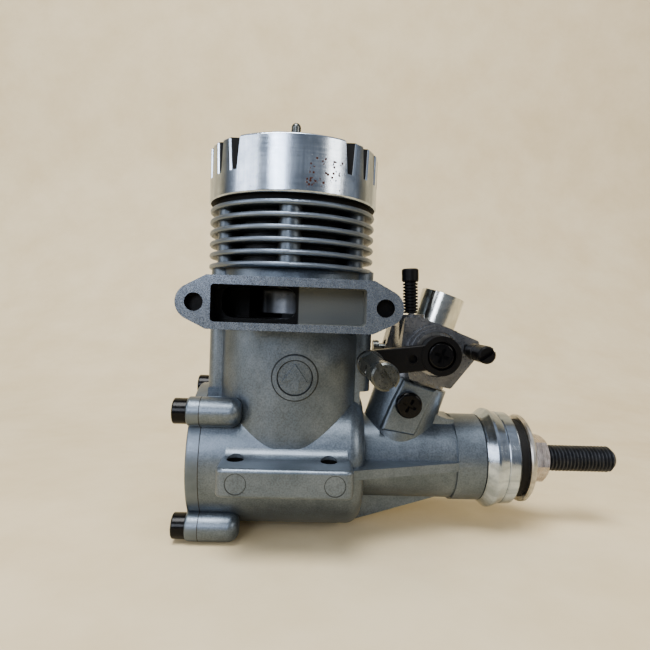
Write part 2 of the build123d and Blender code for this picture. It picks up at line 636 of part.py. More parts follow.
with BuildPart() as connecting_rod:
    rod_x(SMALL_END_R, -ROD_HALF_X, ROD_HALF_X, z=WRIST_Z)
    rod_x(BIG_END_R, -ROD_HALF_X, ROD_HALF_X, z=CRANK_R)
    with BuildSketch(Plane.YZ):
        with BuildLine():
            Polyline((-3.4, CRANK_R), (-2.3, WRIST_Z), (2.3, WRIST_Z), (3.4, CRANK_R), (-3.4, CRANK_R))
        make_face()
    extrude(amount=1.9, both=True)
    # the I-section flutes on both faces of the shank
    for side in (-1, 1):
        with BuildSketch(Plane.YZ.offset(side * 1.9)):
            with BuildLine():
                Polyline((-2.0, CRANK_R + 6.2), (-1.2, WRIST_Z - 5.6), (1.2, WRIST_Z - 5.6),
                         (2.0, CRANK_R + 6.2), (-2.0, CRANK_R + 6.2))
            make_face()
        extrude(amount=-side * 1.1, mode=Mode.SUBTRACT)
    rod_x(SMALL_BUSH_R + 0.01, -ROD_HALF_X - 1, ROD_HALF_X + 1, z=WRIST_Z, mode=Mode.SUBTRACT)
    rod_x(BIG_BUSH_R + 0.01, -ROD_HALF_X - 1, ROD_HALF_X + 1, z=CRANK_R, mode=Mode.SUBTRACT)
    rod_z(0.5, CRANK_R - BIG_END_R - 1, CRANK_R, mode=Mode.SUBTRACT)
finish(connecting_rod.part, "connecting_rod")

with BuildPart() as small_end_bush:
    rod_x(SMALL_BUSH_R, -ROD_HALF_X, ROD_HALF_X, z=WRIST_Z)
    rod_x(WRIST_PIN_R + 0.03, -ROD_HALF_X - 1, ROD_HALF_X + 1, z=WRIST_Z, mode=Mode.SUBTRACT)
finish(small_end_bush.part, "small_end_bush")

with BuildPart() as big_end_bush:
    rod_x(BIG_BUSH_R, -ROD_HALF_X, ROD_HALF_X, z=CRANK_R)
    rod_x(CRANKPIN_R + 0.02, -ROD_HALF_X - 1, ROD_HALF_X + 1, z=CRANK_R, mode=Mode.SUBTRACT)
finish(big_end_bush.part, "big_end_bush")

with BuildPart() as crankpin:
    rod_x(CRANKPIN_R, CRANKPIN_REAR_X, CRANKPIN_FRONT_X, z=CRANK_R)
    chamfer(crankpin.edges().filter_by(GeomType.CIRCLE).sort_by(Axis.X)[0], 0.3)
finish(crankpin.part, "crankpin")

# =====================================================================================
# Crankshaft
# =====================================================================================
with BuildPart() as crankshaft:
    rod_x(WEB_R, WEB_REAR_X, WEB_FRONT_X)
    # the web is relieved beside the pin, so that the far half balances it
    for side in (-1, 1):
        rod_x(6.6, WEB_REAR_X - 1, WEB_FRONT_X + 1, y=side * 12.4, z=9.2, mode=Mode.SUBTRACT)
    rod_x(9.0, WEB_FRONT_X, REAR_SEAT_X)
    rod_x(JOURNAL_R, REAR_SEAT_X, FRONT_SEAT_X - 0.3)
    rod_x(4.6, FRONT_SEAT_X - 0.3, FRONT_SEAT_X)
    rod_x(SHAFT_FRONT_R, FRONT_SEAT_X, WASHER_FRONT_X - 0.3)
    rod_x(NECK_R, WASHER_FRONT_X - 0.3, NUT_FRONT_X + 0.2)
    rod_x(THREAD_R, NUT_FRONT_X + 0.2, SHAFT_TIP_X)
    chamfer(crankshaft.edges().filter_by(GeomType.CIRCLE).sort_by(Axis.X)[-1], 1.1)
    rod_x(SHAFT_BORE_R, WEB_REAR_X - 1, 33.0, mode=Mode.SUBTRACT)
    # the rotary valve window, open to the carburettor at top dead centre
    valve_plane = Plane(
        origin=(25.2, 0, 0),
        x_dir=(1, 0, 0),
        z_dir=(0, -sin(radians(PORT_WINDOW_ANGLE)), cos(radians(PORT_WINDOW_ANGLE))),
    )
    with BuildSketch(valve_plane):
        RectangleRounded(9.6, 8.6, 1.0)
    extrude(amount=10, mode=Mode.SUBTRACT)
    # key flat for the drive washer
    with Locations((51.0, 0, SHAFT_FRONT_R - 0.2)):
        Box(5.0, 1.6, 1.2, mode=Mode.SUBTRACT)
finish(crankshaft.part, "crankshaft")

with BuildPart() as drive_key:
    with Locations((51.0, 0, SHAFT_FRONT_R + 0.2)):
        Box(4.8, 1.5, 1.9)
finish(drive_key.part, "drive_key")

# =====================================================================================
# Ball bearings
# =====================================================================================


def make_bearing(name, seat_x, width, in_r, out_r, ball_r, count):
    """Write the outer race, inner race, balls and cage of one ball bearing; return its pitch radius."""
    pitch_r = (in_r + out_r) / 2
    land = 0.67 * ball_r
    mid_x = seat_x + width / 2
    ball_spots = [
        (mid_x, pitch_r * cos(radians(360 / count * i)), pitch_r * sin(radians(360 / count * i)))
        for i in range(count)
    ]
    groove = Location((mid_x, 0, 0), (0, 90, 0))
    with BuildPart() as outer_race:
        rod_x(out_r, seat_x, seat_x + width)
        rod_x(pitch_r + land, seat_x - 1, seat_x + width + 1, mode=Mode.SUBTRACT)
        with Locations(groove):
            Torus(pitch_r, ball_r + 0.06, mode=Mode.SUBTRACT)
    finish(outer_race.part, f"{name}_bearing_outer_race")
    with BuildPart() as inner_race:
        rod_x(pitch_r - land, seat_x, seat_x + width)
        rod_x(in_r, seat_x - 1, seat_x + width + 1, mode=Mode.SUBTRACT)
        with Locations(groove):
            Torus(pitch_r, ball_r + 0.06, mode=Mode.SUBTRACT)
    finish(inner_race.part, f"{name}_bearing_inner_race")
    with BuildPart() as balls:
        with Locations(*ball_spots):
            Sphere(ball_r)
    finish(balls.part, f"{name}_bearing_balls")
    with BuildPart() as cage:
        rod_x(pitch_r + 0.42 * ball_r, mid_x - 1.3 * ball_r, mid_x + 1.3 * ball_r)
        rod_x(pitch_r - 0.42 * ball_r, mid_x - 3 * ball_r, mid_x + 3 * ball_r, mode=Mode.SUBTRACT)
        with Locations(*ball_spots):
            Sphere(ball_r + 0.06, mode=Mode.SUBTRACT)
    finish(cage.part, f"{name}_bearing_cage")


make_bearing("rear", REAR_SEAT_X, REAR_BEARING_W, REAR_BEARING_IN_R, REAR_BEARING_OUT_R,
             REAR_BALL_R, REAR_BALL_COUNT)
make_bearing("front", FRONT_SEAT_X, FRONT_BEARING_W, FRONT_BEARING_IN_R, FRONT_BEARING_OUT_R,
             FRONT_BALL_R, FRONT_BALL_COUNT)

# =====================================================================================
# Propeller drive: drive washer, spacer, washer and nut
# =====================================================================================
with BuildPart() as drive_washer:
    with BuildSketch(Plane.XY):
        with BuildLine():
            Polyline((FRONT_SEAT_X + FRONT_BEARING_W, SHAFT_FRONT_R + 0.04),
                     (FRONT_SEAT_X + FRONT_BEARING_W, 4.9), (DRIVE_REAR_X, 4.9), (DRIVE_REAR_X, 10.3),
                     (DRIVE_REAR_X + 0.3, 10.6), (DRIVE_REAR_X + 1.9, 11.9), (DRIVE_REAR_X + 2.5, 11.9),
                     (DRIVE_REAR_X + 4.9, 10.9), (DRIVE_REAR_X + 5.1, 11.1), (DRIVE_REAR_X + 7.3, 11.0),
                     (DRIVE_FRONT_X, 10.6), (DRIVE_FRONT_X, SHAFT_FRONT_R + 0.04),
                     (FRONT_SEAT_X + FRONT_BEARING_W, SHAFT_FRONT_R + 0.04))
        make_face()
    revolve(axis=Axis.X)
    with Locations((51.0, 0, SHAFT_FRONT_R + 0.4)):
        Box(5.0, 1.6, 1.8, mode=Mode.SUBTRACT)
finish(drive_washer.part, "drive_washer")

with BuildPart() as drive_spacer:
    rod_x(9.4, DRIVE_FRONT_X, SPACER_FRONT_X)
    rod_x(SHAFT_FRONT_R + 0.04, DRIVE_FRONT_X - 1, SPACER_FRONT_X + 1, mode=Mode.SUBTRACT)
finish(drive_spacer.part, "drive_spacer")

with BuildPart() as prop_washer:
    with BuildSketch(Plane.XY):
        with BuildLine():
            Polyline((SPACER_FRONT_X, 0), (SPACER_FRONT_X, 10.2), (SPACER_FRONT_X + 0.3, 10.5),
                     (SPACER_FRONT_X + 0.9, 10.5), (SPACER_FRONT_X + 1.3, 10.1), (WASHER_FRONT_X, 6.6),
                     (WASHER_FRONT_X, 0), (SPACER_FRONT_X, 0))
        make_face()
    revolve(axis=Axis.X)
    rod_x(SHAFT_FRONT_R + 0.04, SPACER_FRONT_X - 1, WASHER_FRONT_X + 1, mode=Mode.SUBTRACT)
finish(prop_washer.part, "prop_washer")

with BuildPart() as prop_nut:
    with BuildSketch(Plane.YZ.offset(WASHER_FRONT_X)):
        RegularPolygon(NUT_HALF_FLATS, 6, major_radius=False, rotation=7)
    extrude(amount=NUT_FRONT_X - WASHER_FRONT_X)
    # chamfered crowns on both ends
    with BuildSketch(Plane.XY):
        with BuildLine():
            Polyline((WASHER_FRONT_X, 0), (WASHER_FRONT_X, 5.5), (WASHER_FRONT_X + 0.3, 6.0),
                     (NUT_FRONT_X - 0.6, 6.0), (NUT_FRONT_X, 5.0), (NUT_FRONT_X, 0), (WASHER_FRONT_X, 0))
        make_face()
    revolve(axis=Axis.X, mode=Mode.INTERSECT)
    rod_x(NECK_R + 0.03, WASHER_FRONT_X - 1, NUT_FRONT_X + 1, mode=Mode.SUBTRACT)
finish(prop_nut.part, "prop_nut")

# =====================================================================================
# Carburettor
# =====================================================================================
needle_plane = Plane(
    origin=(NEEDLE_X, NEEDLE_Y, NEEDLE_Z),
    x_dir=(cos(radians(NEEDLE_LEAN)), 0, -sin(radians(NEEDLE_LEAN))),
    z_dir=(sin(radians(NEEDLE_LEAN)), 0, cos(radians(NEEDLE_LEAN))),
)


def rod_n(radius, n_start, n_end, mode=Mode.ADD):
    """Cylinder along the needle's axis, measured up from the top of its boss."""
    with Locations(needle_plane.offset((n_start + n_end) / 2).location):
        Cylinder(radius, n_end - n_start, mode=mode)


with BuildPart() as carb_body:
    with BuildSketch(Plane.XZ.offset(-CARB_FAR_Y)):
        with BuildLine():
            Polyline((25.5, 27.0), (26.1, 34.1), (29.8, 34.2), (43.3, 29.2), (42.2, 24.8), (37.1, 18.2),
                     (27.7, 20.1), (25.5, 27.0))
        make_face()
    extrude(amount=CARB_FAR_Y - CARB_NEAR_Y)
    fillet(carb_body.edges().filter_by(Axis.Y), 0.7)
    # thicker rear cheek on the far side
    with BuildSketch(Plane.XZ.offset(-CARB_FAR_Y)):
        with BuildLine():
            Polyline((23.6, 24.9), (25.3, 31.8), (30.0, 31.8), (30.0, 24.9), (23.6, 24.9))
        make_face()
    extrude(amount=6.5)
    rod_s(STUB_R, STUB_BOTTOM_S, 22.0)
    rod_s(7.5, BOSS_TOP_S + 0.1, 21.5)
    # boss between the block and the intake cup
    rod_s(6.3, 26.0, 34.2)
    # round end of the barrel housing, near side, and the plain spigot on the far side
    rod_y(HOUSING_RIM_R, CARB_NEAR_Y - 1.0, CARB_NEAR_Y + 1.0, x=BARREL_X, z=BARREL_Z)
    rod_y(HOUSING_LIP_R, CARB_NEAR_Y - 1.7, CARB_NEAR_Y + 1.0, x=BARREL_X, z=BARREL_Z)
    rod_y(5.4, CARB_FAR_Y - 1.0, CARB_FAR_Y + 1.5, x=BARREL_X, z=BARREL_Z)
    # needle boss
    rod_n(3.0, -8.0, 0)
    # ---- hollows ----
    rod_s(VENTURI_R, STUB_BOTTOM_S - 1, 36.0, mode=Mode.SUBTRACT)
    rod_s(CUP_R - 0.85, 33.2, 36.0, mode=Mode.SUBTRACT)
    rod_y(BARREL_HOLE_R, CARB_NEAR_Y - 2.0, 6.5, x=BARREL_X, z=BARREL_Z, mode=Mode.SUBTRACT)
    rod_y(1.55, 5.0, CARB_FAR_Y + 3, x=BARREL_X, z=BARREL_Z, mode=Mode.SUBTRACT)
    rod_n(0.95, -3.2, 1, mode=Mode.SUBTRACT)
    rod_y(1.15, CARB_NEAR_Y - 2.0, -3.0, x=IDLE_X, z=IDLE_Z, mode=Mode.SUBTRACT)
    rod_x(0.95, 22.0, 29.5, y=STOP_Y, z=BARREL_Z, mode=Mode.SUBTRACT)
    rod_x(2.0, 20.0, 25.0, y=STOP_Y, z=BARREL_Z, mode=Mode.SUBTRACT)
finish(carb_body.part, "carb_body")

with BuildPart() as intake_cup:
    with BuildSketch(carb_plane.offset(34.25)):
        Circle(CUP_R)
    extrude(amount=CUP_TOP_S - 34.25)
    rod_s(CUP_R - 0.9, 33.3, 34.3)
    with BuildSketch(carb_plane.offset(CUP_TOP_S)):
        Circle(CUP_R - 0.45)
    extrude(amount=-5.0, taper=9, mode=Mode.SUBTRACT)
    rod_s(VENTURI_R, 33.0, CUP_TOP_S, mode=Mode.SUBTRACT)
finish(intake_cup.part, "intake_cup")

with BuildPart() as carb_o_ring:
    with Locations(carb_plane.offset(STUB_BOTTOM_S - 0.3).location):
        Torus(5.4, 0.27)
finish(carb_o_ring.part, "carb_o_ring")

with BuildPart() as throttle_barrel:
    rod_y(BARREL_R, CARB_NEAR_Y - 0.8, 6.0, x=BARREL_X, z=BARREL_Z)
    rod_y(2.2, -14.2, CARB_NEAR_Y - 0.8, x=BARREL_X, z=BARREL_Z)
    rod_s(VENTURI_R, 15.0, 40.0, mode=Mode.SUBTRACT)
    rod_y(1.2, -15, -5.5, x=BARREL_X, z=BARREL_Z, mode=Mode.SUBTRACT)
    rod_y(1.3, 3.5, 7.0, x=BARREL_X, z=BARREL_Z, mode=Mode.SUBTRACT)
    # the ring track that the stop screw runs in
    with BuildSketch(Plane.XZ.offset(-STOP_Y - 0.8)):
        with Locations((BARREL_X, BARREL_Z)):
            Circle(BARREL_R + 1)
            Circle(BARREL_R - 0.7, mode=Mode.SUBTRACT)
    extrude(amount=1.6, mode=Mode.SUBTRACT)
finish(throttle_barrel.part, "throttle_barrel")

with BuildPart() as throttle_stop_screw:
    rod_x(0.9, 22.6, BARREL_X - BARREL_R - 1.0, y=STOP_Y, z=BARREL_Z)
    rod_x(0.65, BARREL_X - BARREL_R - 1.0, BARREL_X - BARREL_R + 0.55, y=STOP_Y, z=BARREL_Z)
    rod_x(1.7, 21.2, 22.6, y=STOP_Y, z=BARREL_Z)
    with Locations((21.2, STOP_Y, BARREL_Z)):
        Box(1.4, 0.5, 4.0, mode=Mode.SUBTRACT)
finish(throttle_stop_screw.part, "throttle_stop_screw")

# the throttle arm: a moulded lever on the barrel's spigot
with BuildPart() as throttle_arm:
    with BuildSketch(Plane.XZ.offset(-BLADE_FAR_Y)):
        with Locations(Location(((BARREL_X + LINK_X) / 2, (BARREL_Z + LINK_Z) / 2), ARM_DROOP)):
            SlotCenterToCenter(ARM_REACH, 2 * BLADE_HALF_WIDTH)
    extrude(amount=BLADE_FAR_Y - BLADE_NEAR_Y)
    fillet(throttle_arm.faces().sort_by(Axis.Y)[0].edges(), 0.3)
    rod_y(HUB_R, HUB_NEAR_Y, HUB_FAR_Y, x=BARREL_X, z=BARREL_Z)
    rod_y(3.1, HUB_NEAR_Y - 1, -15.2, x=BARREL_X, z=BARREL_Z, mode=Mode.SUBTRACT)
    rod_y(1.3, -16, HUB_FAR_Y + 1, x=BARREL_X, z=BARREL_Z, mode=Mode.SUBTRACT)
    rod_y(2.24, -14.3, HUB_FAR_Y + 1, x=BARREL_X, z=BARREL_Z, mode=Mode.SUBTRACT)
    rod_y(LINK_HOLE_R, -18, -13, x=LINK_X, z=LINK_Z, mode=Mode.SUBTRACT)
    rod_y(0.9, -18, -15.6, x=BARREL_X - SPARE_HOLE_REACH * cos(radians(ARM_DROOP)),
          z=BARREL_Z - SPARE_HOLE_REACH * sin(radians(ARM_DROOP)), mode=Mode.SUBTRACT)
finish(throttle_arm.part, "throttle_arm")

with BuildPart() as throttle_arm_screw:
    rod_y(2.9, -16.8, -15.2, x=BARREL_X, z=BARREL_Z)
    fillet(throttle_arm_screw.faces().sort_by(Axis.Y)[0].edges(), 0.5)
    rod_y(1.15, -15.2, -6.0, x=BARREL_X, z=BARREL_Z)
    for turn in (20, 110):
        with Locations(Location((BARREL_X, -16.8, BARREL_Z), (0, turn, 0))):
            Box(3.2, 2.0, 0.65, mode=Mode.SUBTRACT)
finish(throttle_arm_screw.part, "throttle_arm_screw")

# the push-rod connector: a hexagonal body on a disc, riveted through the arm's end hole, with a slotted screw
with BuildPart() as connector_body:
    rod_y(CONNECTOR_DISC_R, CONNECTOR_BODY_Y, CONNECTOR_DISC_Y, x=LINK_X, z=LINK_Z)
    chamfer(connector_body.edges().filter_by(GeomType.CIRCLE), 0.15)
    with BuildSketch(Plane.XZ.offset(-CONNECTOR_BODY_Y)):
        with Locations((LINK_X, LINK_Z)):
            RegularPolygon(CONNECTOR_HEX_R, 6, rotation=26)
    extrude(amount=CONNECTOR_BODY_Y - CONNECTOR_END_Y)
    rod_y(CONNECTOR_PIN_R, CONNECTOR_DISC_Y, -13.0, x=LINK_X, z=LINK_Z)
    rod_y(1.05, CONNECTOR_END_Y - 1, ROD_HOLE_Y, x=LINK_X, z=LINK_Z, mode=Mode.SUBTRACT)
    rod_x(1.0, LINK_X - 5, LINK_X + 5, y=ROD_HOLE_Y, z=LINK_Z, mode=Mode.SUBTRACT)
finish(connector_body.part, "connector_body")

with BuildPart() as connector_screw:
    rod_y(CONNECTOR_SCREW_R, CONNECTOR_SCREW_Y, CONNECTOR_END_Y - 0.1, x=LINK_X, z=LINK_Z)
    chamfer(connector_screw.edges().filter_by(GeomType.CIRCLE), 0.35)
    rod_y(1.0, CONNECTOR_END_Y - 0.1, ROD_HOLE_Y - 1.2, x=LINK_X, z=LINK_Z)
    with Locations(Location((LINK_X, CONNECTOR_SCREW_Y, LINK_Z), (0, 58, 0))):
        Box(8.0, 3.4, 1.1, mode=Mode.SUBTRACT)
finish(connector_screw.part, "connector_screw")

with BuildPart() as connector_retainer:
    rod_y(1.9, -14.1, -13.3, x=LINK_X, z=LINK_Z)
    rod_y(CONNECTOR_PIN_R + 0.02, -15, -12, x=LINK_X, z=LINK_Z, mode=Mode.SUBTRACT)
finish(connector_retainer.part, "connector_retainer")

# needle valve and idle mixture screw
with BuildPart() as needle_knob:
    rod_n(1.95, 0.3, 7.8)
    rod_n(2.25, 7.8, 10.6)
    chamfer(needle_knob.edges().filter_by(GeomType.CIRCLE).sort_by(Axis.Z)[-1], 0.3)
    rod_n(0.77, 0, 3.0, mode=Mode.SUBTRACT)
finish(needle_knob.part, "needle_knob")

with BuildPart() as needle_stem:
    rod_n(0.75, -2.9, 2.9)
finish(needle_stem.part, "needle_stem")

with BuildPart() as idle_screw:
    rod_y(2.15, -24.0, -13.0, x=IDLE_X, z=IDLE_Z)
    chamfer(idle_screw.edges().filter_by(GeomType.CIRCLE).sort_by(Axis.Y)[0], 0.4)
    rod_y(1.05, -13.0, -4.0, x=IDLE_X, z=IDLE_Z)
    with Locations(Location((IDLE_X, -24.0, IDLE_Z), (0, 35, 0))):
        Box(6.0, 2.0, 0.7, mode=Mode.SUBTRACT)
finish(idle_screw.part, "idle_screw")

# fuel inlet on the far side, with the spray bar inside the throttle barrel
with BuildPart() as fuel_nipple:
    rod_y(1.5, 6.7, 9.6, x=BARREL_X, z=BARREL_Z)
    with BuildSketch(Plane.XZ.offset(-12.4)):
        with Locations((BARREL_X, BARREL_Z)):
            RegularPolygon(3.0, 6, major_radius=False)
    extrude(amount=2.85)
    rod_y(1.6, 12.4, 18.2, x=BARREL_X, z=BARREL_Z)
    with BuildSketch(Plane.XZ.offset(-20.6)):
        with Locations((BARREL_X, BARREL_Z)):
            Circle(1.35)
    extrude(amount=2.4, taper=-10)
    rod_y(1.0, 6, 21, x=BARREL_X, z=BARREL_Z, mode=Mode.SUBTRACT)
finish(fuel_nipple.part, "fuel_nipple")

with BuildPart() as spray_bar:
    rod_y(0.97, -1.0, 9.0, x=BARREL_X, z=BARREL_Z)
    rod_y(0.55, 0.2, 10, x=BARREL_X, z=BARREL_Z, mode=Mode.SUBTRACT)
finish(spray_bar.part, "spray_bar")

with BuildPart() as carb_clamp_screw:
    rod_y(3.0, CLAMP_PAD_Y - 2.2, CLAMP_PAD_Y, x=CLAMP_X, z=CLAMP_Z)
    fillet(carb_clamp_screw.faces().sort_by(Axis.Y)[0].edges(), 0.7)
    rod_y(1.5, CLAMP_PAD_Y, -6.6, x=CLAMP_X, z=CLAMP_Z)
    for turn in (30, 120):
        with Locations(Location((CLAMP_X, CLAMP_PAD_Y - 2.2, CLAMP_Z), (0, turn, 0))):
            Box(3.2, 2.2, 0.7, mode=Mode.SUBTRACT)
finish(carb_clamp_screw.part, "carb_clamp_screw")
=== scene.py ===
"""Model glow engine: finishes, detailed pieces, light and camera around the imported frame."""

import json
import logging
import math
from dataclasses import dataclass
from enum import Enum

import bpy
from mathutils import Matrix, Vector

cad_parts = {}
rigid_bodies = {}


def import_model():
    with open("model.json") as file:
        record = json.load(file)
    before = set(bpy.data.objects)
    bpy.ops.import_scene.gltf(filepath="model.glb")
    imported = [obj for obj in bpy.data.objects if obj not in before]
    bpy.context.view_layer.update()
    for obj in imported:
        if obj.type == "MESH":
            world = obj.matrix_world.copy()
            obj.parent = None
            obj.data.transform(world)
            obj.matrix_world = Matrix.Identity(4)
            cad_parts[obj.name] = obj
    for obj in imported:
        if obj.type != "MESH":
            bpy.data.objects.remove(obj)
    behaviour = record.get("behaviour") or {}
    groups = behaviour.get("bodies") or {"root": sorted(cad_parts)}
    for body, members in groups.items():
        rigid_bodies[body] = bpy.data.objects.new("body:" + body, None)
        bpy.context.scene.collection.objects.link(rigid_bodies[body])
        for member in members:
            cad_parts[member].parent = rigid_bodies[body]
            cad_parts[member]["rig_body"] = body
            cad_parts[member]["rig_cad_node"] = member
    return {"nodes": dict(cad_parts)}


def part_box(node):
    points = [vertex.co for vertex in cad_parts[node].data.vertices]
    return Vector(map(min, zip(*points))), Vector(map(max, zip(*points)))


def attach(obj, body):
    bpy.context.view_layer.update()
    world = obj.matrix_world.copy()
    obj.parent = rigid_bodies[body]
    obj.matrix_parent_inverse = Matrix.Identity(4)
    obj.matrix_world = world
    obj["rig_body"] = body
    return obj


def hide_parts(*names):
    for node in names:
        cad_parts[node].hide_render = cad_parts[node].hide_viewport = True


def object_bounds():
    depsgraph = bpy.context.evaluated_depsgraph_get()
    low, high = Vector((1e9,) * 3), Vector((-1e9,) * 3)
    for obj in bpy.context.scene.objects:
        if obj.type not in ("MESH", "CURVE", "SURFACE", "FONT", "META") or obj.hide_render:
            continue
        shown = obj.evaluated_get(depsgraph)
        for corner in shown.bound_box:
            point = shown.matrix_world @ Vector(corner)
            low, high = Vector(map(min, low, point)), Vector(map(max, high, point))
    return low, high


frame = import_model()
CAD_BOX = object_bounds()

Socket = bpy.types.NodeSocket
Tree = bpy.types.NodeTree
Material = bpy.types.Material
Piece = bpy.types.Object
Point = tuple[float, float, float]

MM = 0.001
WELD = 1e-6  # vertices closer than this many metres are one
SNAP = 1e-7  # a vertex this many metres off a cutting plane lies on it
log = logging.getLogger("glow_engine")


class Along(Enum):
    """The axis that a turned or drawn surface was worked around."""

    X = (1.0, 0.0, 0.0)
    Y = (0.0, 1.0, 0.0)
    Z = (0.0, 0.0, 1.0)


# ---- Node helpers ----


def linear(hex_colour: str) -> tuple[float, float, float, float]:
    """Turn an sRGB hex colour into linear RGBA.

    Args:
        hex_colour: Six hex digits, with or without a hash.

    Returns:
        Red, green, blue and an alpha of one.
    """
    digits = hex_colour.lstrip("#")
    parts = [int(digits[i : i + 2], 16) / 255 for i in (0, 2, 4)]
    lit = [c / 12.92 if c <= 0.04045 else ((c + 0.055) / 1.055) ** 2.4 for c in parts]
    return (lit[0], lit[1], lit[2], 1.0)


def add(tree: Tree, kind: str, settings: dict | None = None,
        inputs: dict | None = None) -> bpy.types.Node:
    """Add one node with its settings and its inputs.

    Args:
        tree: The node tree to add to.
        kind: The node's type name.
        settings: Attribute values of the node.
        inputs: Socket name or index to a value, or to an output socket to link.

    Returns:
        The new node.
    """
    node = tree.nodes.new(kind)
    for name, value in (settings or {}).items():
        setattr(node, name, value)
    for key, value in (inputs or {}).items():
        if isinstance(value, Socket):
            tree.links.new(value, node.inputs[key])
        else:
            node.inputs[key].default_value = value
    return node


def mixed(tree: Tree, share: Socket, low: object,
          high: object) -> Socket:
    """Blend two colours by a share from 0 to 1.

    Args:
        tree: The node tree to add to.
        share: Socket that gives the share of the second colour.
        low: Colour or socket where the share is 0.
        high: Colour or socket where the share is 1.

    Returns:
        The blended colour's socket.
    """
    node = add(tree, "ShaderNodeMix", {"data_type": "RGBA"}, {0: share, 6: low, 7: high})
    return node.outputs[2]


@dataclass(frozen=True)
class Zone:
    """A soft-edged box in millimetres in which a finish changes."""

    low: Point
    high: Point
    edge: float = 0.15

    def share(self, tree: Tree, point: Socket) -> Socket:
        """Give 1 inside the box and 0 outside.

        Args:
            tree: The node tree to add to.
            point: Object coordinates.

        Returns:
            The share's socket.
        """
        centre = [(a + b) / 2 * MM for a, b in zip(self.low, self.high)]
        half = [(b - a) / 2 * MM for a, b in zip(self.low, self.high)]
        moved = add(tree, "ShaderNodeVectorMath", {"operation": "SUBTRACT"}, {0: point, 1: centre})
        size = add(tree, "ShaderNodeVectorMath", {"operation": "ABSOLUTE"}, {0: moved.outputs[0]})
        over = add(tree, "ShaderNodeVectorMath", {"operation": "SUBTRACT"},
                   {0: size.outputs[0], 1: half})
        axes = add(tree, "ShaderNodeSeparateXYZ", None, {0: over.outputs[0]})
        pair = add(tree, "ShaderNodeMath", {"operation": "MAXIMUM"},
                   {0: axes.outputs[0], 1: axes.outputs[1]})
        worst = add(tree, "ShaderNodeMath", {"operation": "MAXIMUM"},
                    {0: pair.outputs[0], 1: axes.outputs[2]})
        ramp = add(tree, "ShaderNodeMapRange", {"interpolation_type": "SMOOTHSTEP"},
                   {"Value": worst.outputs[0], "From Min": -self.edge * MM, "From Max": self.edge * MM,
                    "To Min": 1.0, "To Max": 0.0})
        return ramp.outputs[0]


@dataclass(frozen=True)
class Reach:
    """A share by the distance from an axis through a point, in millimetres."""

    start: float
    full: float
    along: Along = Along.Z
    centre: Point = (0.0, 0.0, 0.0)

    def share(self, tree: Tree, point: Socket) -> Socket:
        """Give 0 at the start radius and 1 at the full radius.

        Args:
            tree: The node tree to add to.
            point: Object coordinates.

        Returns:
            The share's socket.
        """
        flat = [1.0 - c for c in self.along.value]
        moved = add(tree, "ShaderNodeVectorMath", {"operation": "SUBTRACT"},
                    {0: point, 1: [c * MM for c in self.centre]})
        planar = add(tree, "ShaderNodeVectorMath", {"operation": "MULTIPLY"},
                     {0: moved.outputs[0], 1: flat})
        length = add(tree, "ShaderNodeVectorMath", {"operation": "LENGTH"}, {0: planar.outputs[0]})
        ramp = add(tree, "ShaderNodeMapRange", None,
                   {"Value": length.outputs[1],
                    "From Min": self.start * MM, "From Max": self.full * MM})
        return ramp.outputs[0]


@dataclass(frozen=True)
class Finish:
    """A surface with grain and mottled colour, sized in millimetres."""

    name: str
    colour: str
    second: str
    metallic: float
    roughness: float
    grain_mm: float = 0.3
    mottle_mm: float = 5.0
    bump: float = 0.25
    depth_mm: float = 0.03
    roughness_spread: float = 0.1
    specular: float = 0.5

    def start(self) -> tuple[Material, Tree, Socket]:
        """Make the empty material.

        Returns:
            The material, its node tree and its object coordinates.
        """
        material = bpy.data.materials.new(self.name)
        material.use_nodes = True
        tree = material.node_tree
        tree.nodes.clear()
        point = add(tree, "ShaderNodeTexCoord").outputs["Object"]
        return material, tree, point

    def grain(self, tree: Tree, point: Socket) -> Socket:
        """Give the fine surface grain's height."""
        noise = add(tree, "ShaderNodeTexNoise", None,
                    {"Vector": point, "Scale": 1 / (self.grain_mm * MM), "Detail": 2.0})
        return noise.outputs[0]

    def base(self, tree: Tree, point: Socket) -> Socket:
        """Give the mottled base colour.

        Args:
            tree: The node tree to add to.
            point: Object coordinates.

        Returns:
            The colour's socket.
        """
        broad = add(tree, "ShaderNodeTexNoise", None,
                    {"Vector": point, "Scale": 1 / (self.mottle_mm * MM), "Detail": 4.0,
                     "Roughness": 0.65})
        ramp = add(tree, "ShaderNodeMapRange", None,
                   {"Value": broad.outputs[0], "From Min": 0.35, "From Max": 0.68})
        return mixed(tree, ramp.outputs[0], linear(self.colour), linear(self.second))

    def close(self, material: Material, colour: Socket, height: Socket,
              roughness: Socket | None = None, metallic: Socket | None = None) -> Material:
        """Join colour, height and roughness in the shader.

        Args:
            material: The material being made.
            colour: Socket of the base colour.
            height: Socket of the surface height, 0 to 1.
            roughness: Socket of the roughness, or none for the finish's own spread.
            metallic: Socket of the metallic share, or none for the finish's own.

        Returns:
            The finished material.
        """
        tree = material.node_tree
        bump = add(tree, "ShaderNodeBump", None,
                   {"Strength": self.bump, "Distance": self.depth_mm * MM, "Height": height})
        if roughness is None:
            low = max(self.roughness - self.roughness_spread / 2, 0.02)
            spread = add(tree, "ShaderNodeMapRange", None,
                         {"Value": height, "From Min": 0.3, "From Max": 0.7,
                          "To Min": low, "To Max": low + self.roughness_spread})
            roughness = spread.outputs[0]
        shader = add(tree, "ShaderNodeBsdfPrincipled", None,
                     {"Base Color": colour, "Roughness": roughness, "Normal": bump.outputs[0],
                      "Metallic": self.metallic if metallic is None else metallic,
                      "Specular IOR Level": self.specular})
        add(tree, "ShaderNodeOutputMaterial", None, {"Surface": shader.outputs[0]})
        return material

    def build(self) -> Material:
        """Make the material."""
        material, tree, point = self.start()
        return self.close(material, self.base(tree, point), self.grain(tree, point))


